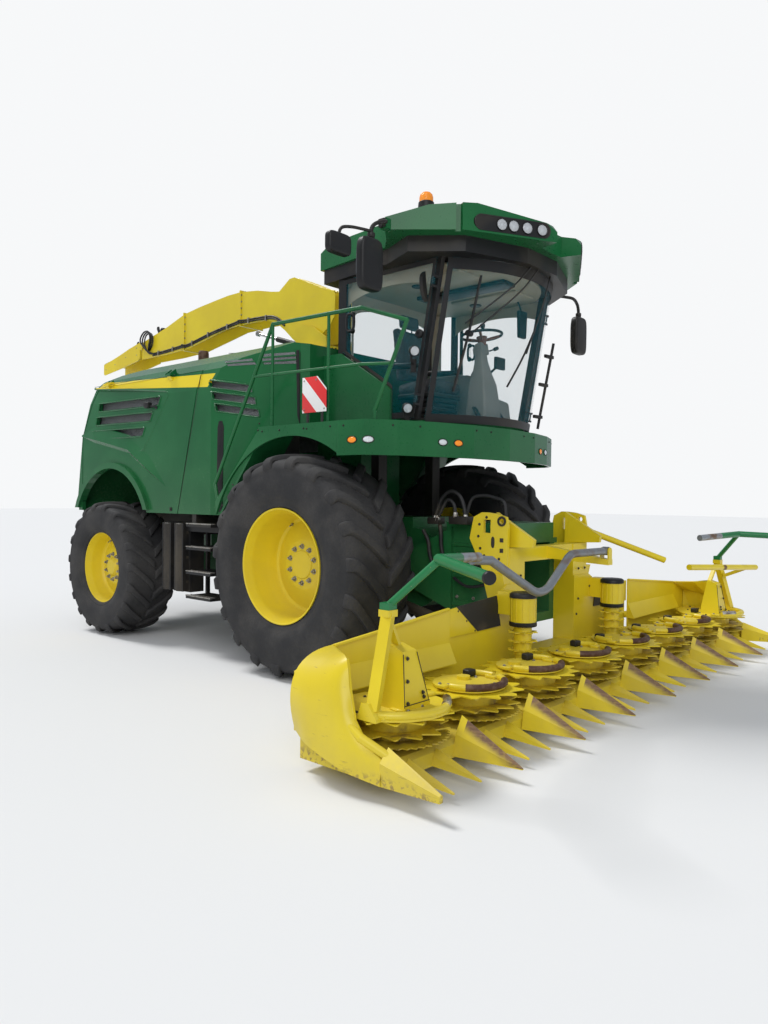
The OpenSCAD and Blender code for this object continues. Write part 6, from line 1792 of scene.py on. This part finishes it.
barrel = pipe([(0, 4.40, 3.90), (0, 4.62, 3.845)], 0.024, 16, soft=False)
done(arms + [motor, barrel], "flap_actuator", "spout_boom", "dark_frame")
lugs = []
for x in (-0.145, 0.145):
    lugs.append(plate("x", [(4.78, 3.752), (4.86, 3.738), (4.845, 3.79), (4.80, 3.80)],
                      x - 0.005, x + 0.005, 0.003))
edge = slab("z", (-0.172, 0.172), (5.60, 5.715), (3.5625, 3.5695), 0.002)
for corner in edge.data.vertices:
    corner.co.z += (5.72 + SHIFT - corner.co.y) * 0.17
lugs.append(edge)
done(lugs, "flap_edge", "spout_end", *RUBBER)
spots = [((sign * 0.1725, y, z), (sign, 0, 0)) for sign in (-1, 1) for y, z in
         ((4.80, 3.60), (4.80, 3.70), (5.10, 3.60), (5.40, 3.53), (5.66, 3.48))]
bolts("flap_bolts", spots, 0.010, "spout_end", *PLATED)

# %% [markdown]
# ## Hoses at the header
# Thick hydraulic hoses come from under the cab, bend over the feed housing and plug into
# couplers beside it. All of them are fixed at both ends and clipped, so they are rigid
# pieces that lift with the housing.

# %% Header hoses and couplers
HOSES = [
    ([(-0.47, -0.84, 1.43), (-0.47, -0.91, 1.60), (-0.47, -1.01, 1.675), (-0.47, -1.11, 1.640),
      (-0.47, -1.16, 1.545), (-0.47, -1.18, 1.44)], 0.017),
    ([(-0.51, -0.90, 1.43), (-0.51, -0.97, 1.55), (-0.51, -1.02, 1.60), (-0.51, -1.08, 1.560),
      (-0.51, -1.10, 1.46)], 0.016),
    ([(-0.44, -1.16, 1.44), (-0.43, -1.22, 1.61), (-0.42, -1.34, 1.640), (-0.42, -1.46, 1.620),
      (-0.43, -1.55, 1.585), (-0.44, -1.575, 1.50), (-0.44, -1.58, 1.42)], 0.015),
    ([(-0.49, -0.72, 1.32), (-0.49, -0.78, 1.22), (-0.49, -0.80, 1.10), (-0.48, -0.84, 0.98)], 0.018),
    ([(-0.46, -0.88, 1.42), (-0.465, -0.905, 1.30), (-0.465, -0.91, 1.19), (-0.46, -0.93, 1.08)], 0.018),
    ([(-0.45, -1.05, 1.06), (-0.475, -1.20, 1.02), (-0.475, -1.36, 1.04), (-0.45, -1.50, 1.10)], 0.014),
    ([(-0.44, -1.04, 0.90), (-0.47, -1.20, 0.84), (-0.47, -1.36, 0.86), (-0.44, -1.51, 0.93)], 0.014)]
hose_set = [pipe(points, radius, 12) for points, radius in HOSES]
done(hose_set, "header_hoses", "feeder", *RUBBER, 60)
ENDS = [((-0.47, -1.18, 1.44), (0, -0.1, -1)), ((-0.51, -1.10, 1.46), (0, -0.1, -1)),
        ((-0.44, -1.58, 1.42), (0, 0, -1)), ((-0.47, -0.84, 1.43), (0, 0.3, -1)),
        ((-0.51, -0.90, 1.43), (0, 0.2, -1)), ((-0.46, -0.93, 1.08), (0, -0.2, -1)),
        ((-0.45, -1.50, 1.10), (0.1, -0.6, 0.6)), ((-0.44, -1.51, 0.93), (0.1, -0.6, 0.6))]
NUT = [(-0.03, 0), (-0.03, 0.020), (-0.010, 0.022), (-0.006, 0.026), (0.020, 0.026), (0.024, 0.021),
       (0.05, 0.021), (0.05, 0)]
fittings = [stood(NUT, place(*spot), way, 6) for spot, way in ENDS]
for y in (-1.18, -1.34, -1.50):
    fittings.append(slab("y", (-0.402, -0.50), (1.395, 1.425), (y - 0.012, y + 0.012), 0.003))
done(fittings, "header_fittings", "feeder", *PLATED)
blocks = [slab("x", (-1.24, -1.04), (1.385, 1.455), (-0.535, -0.425), 0.008),
          slab("x", (-1.62, -1.54), (1.36, 1.43), (-0.47, -0.40), 0.006),
          slab("x", (-0.92, -0.80), (1.38, 1.44), (-0.535, -0.425), 0.006)]
done(blocks, "header_coupler_blocks", "feeder", "dark_frame")
housing = []
for sign in (-1, 1):
    for z in (0.66, 0.92, 1.20):
        housing.append(slab("x", (-1.52, -0.95), (z - 0.014, z + 0.014), (sign * 0.399, sign * 0.412),
                            0.004))
    housing.append(slab("x", (-1.44, -1.02), (0.70, 1.14), (sign * 0.399, sign * 0.405), 0.003))
done(housing, "housing_ribs", "feeder", "green")
spots = [((sign * 0.4052, y, z), (sign, 0, 0)) for sign in (-1, 1) for y in (-1.41, -1.23, -1.05)
         for z in (0.73, 1.11)]
bolts("housing_bolts", spots, 0.012, "feeder", *PLATED)
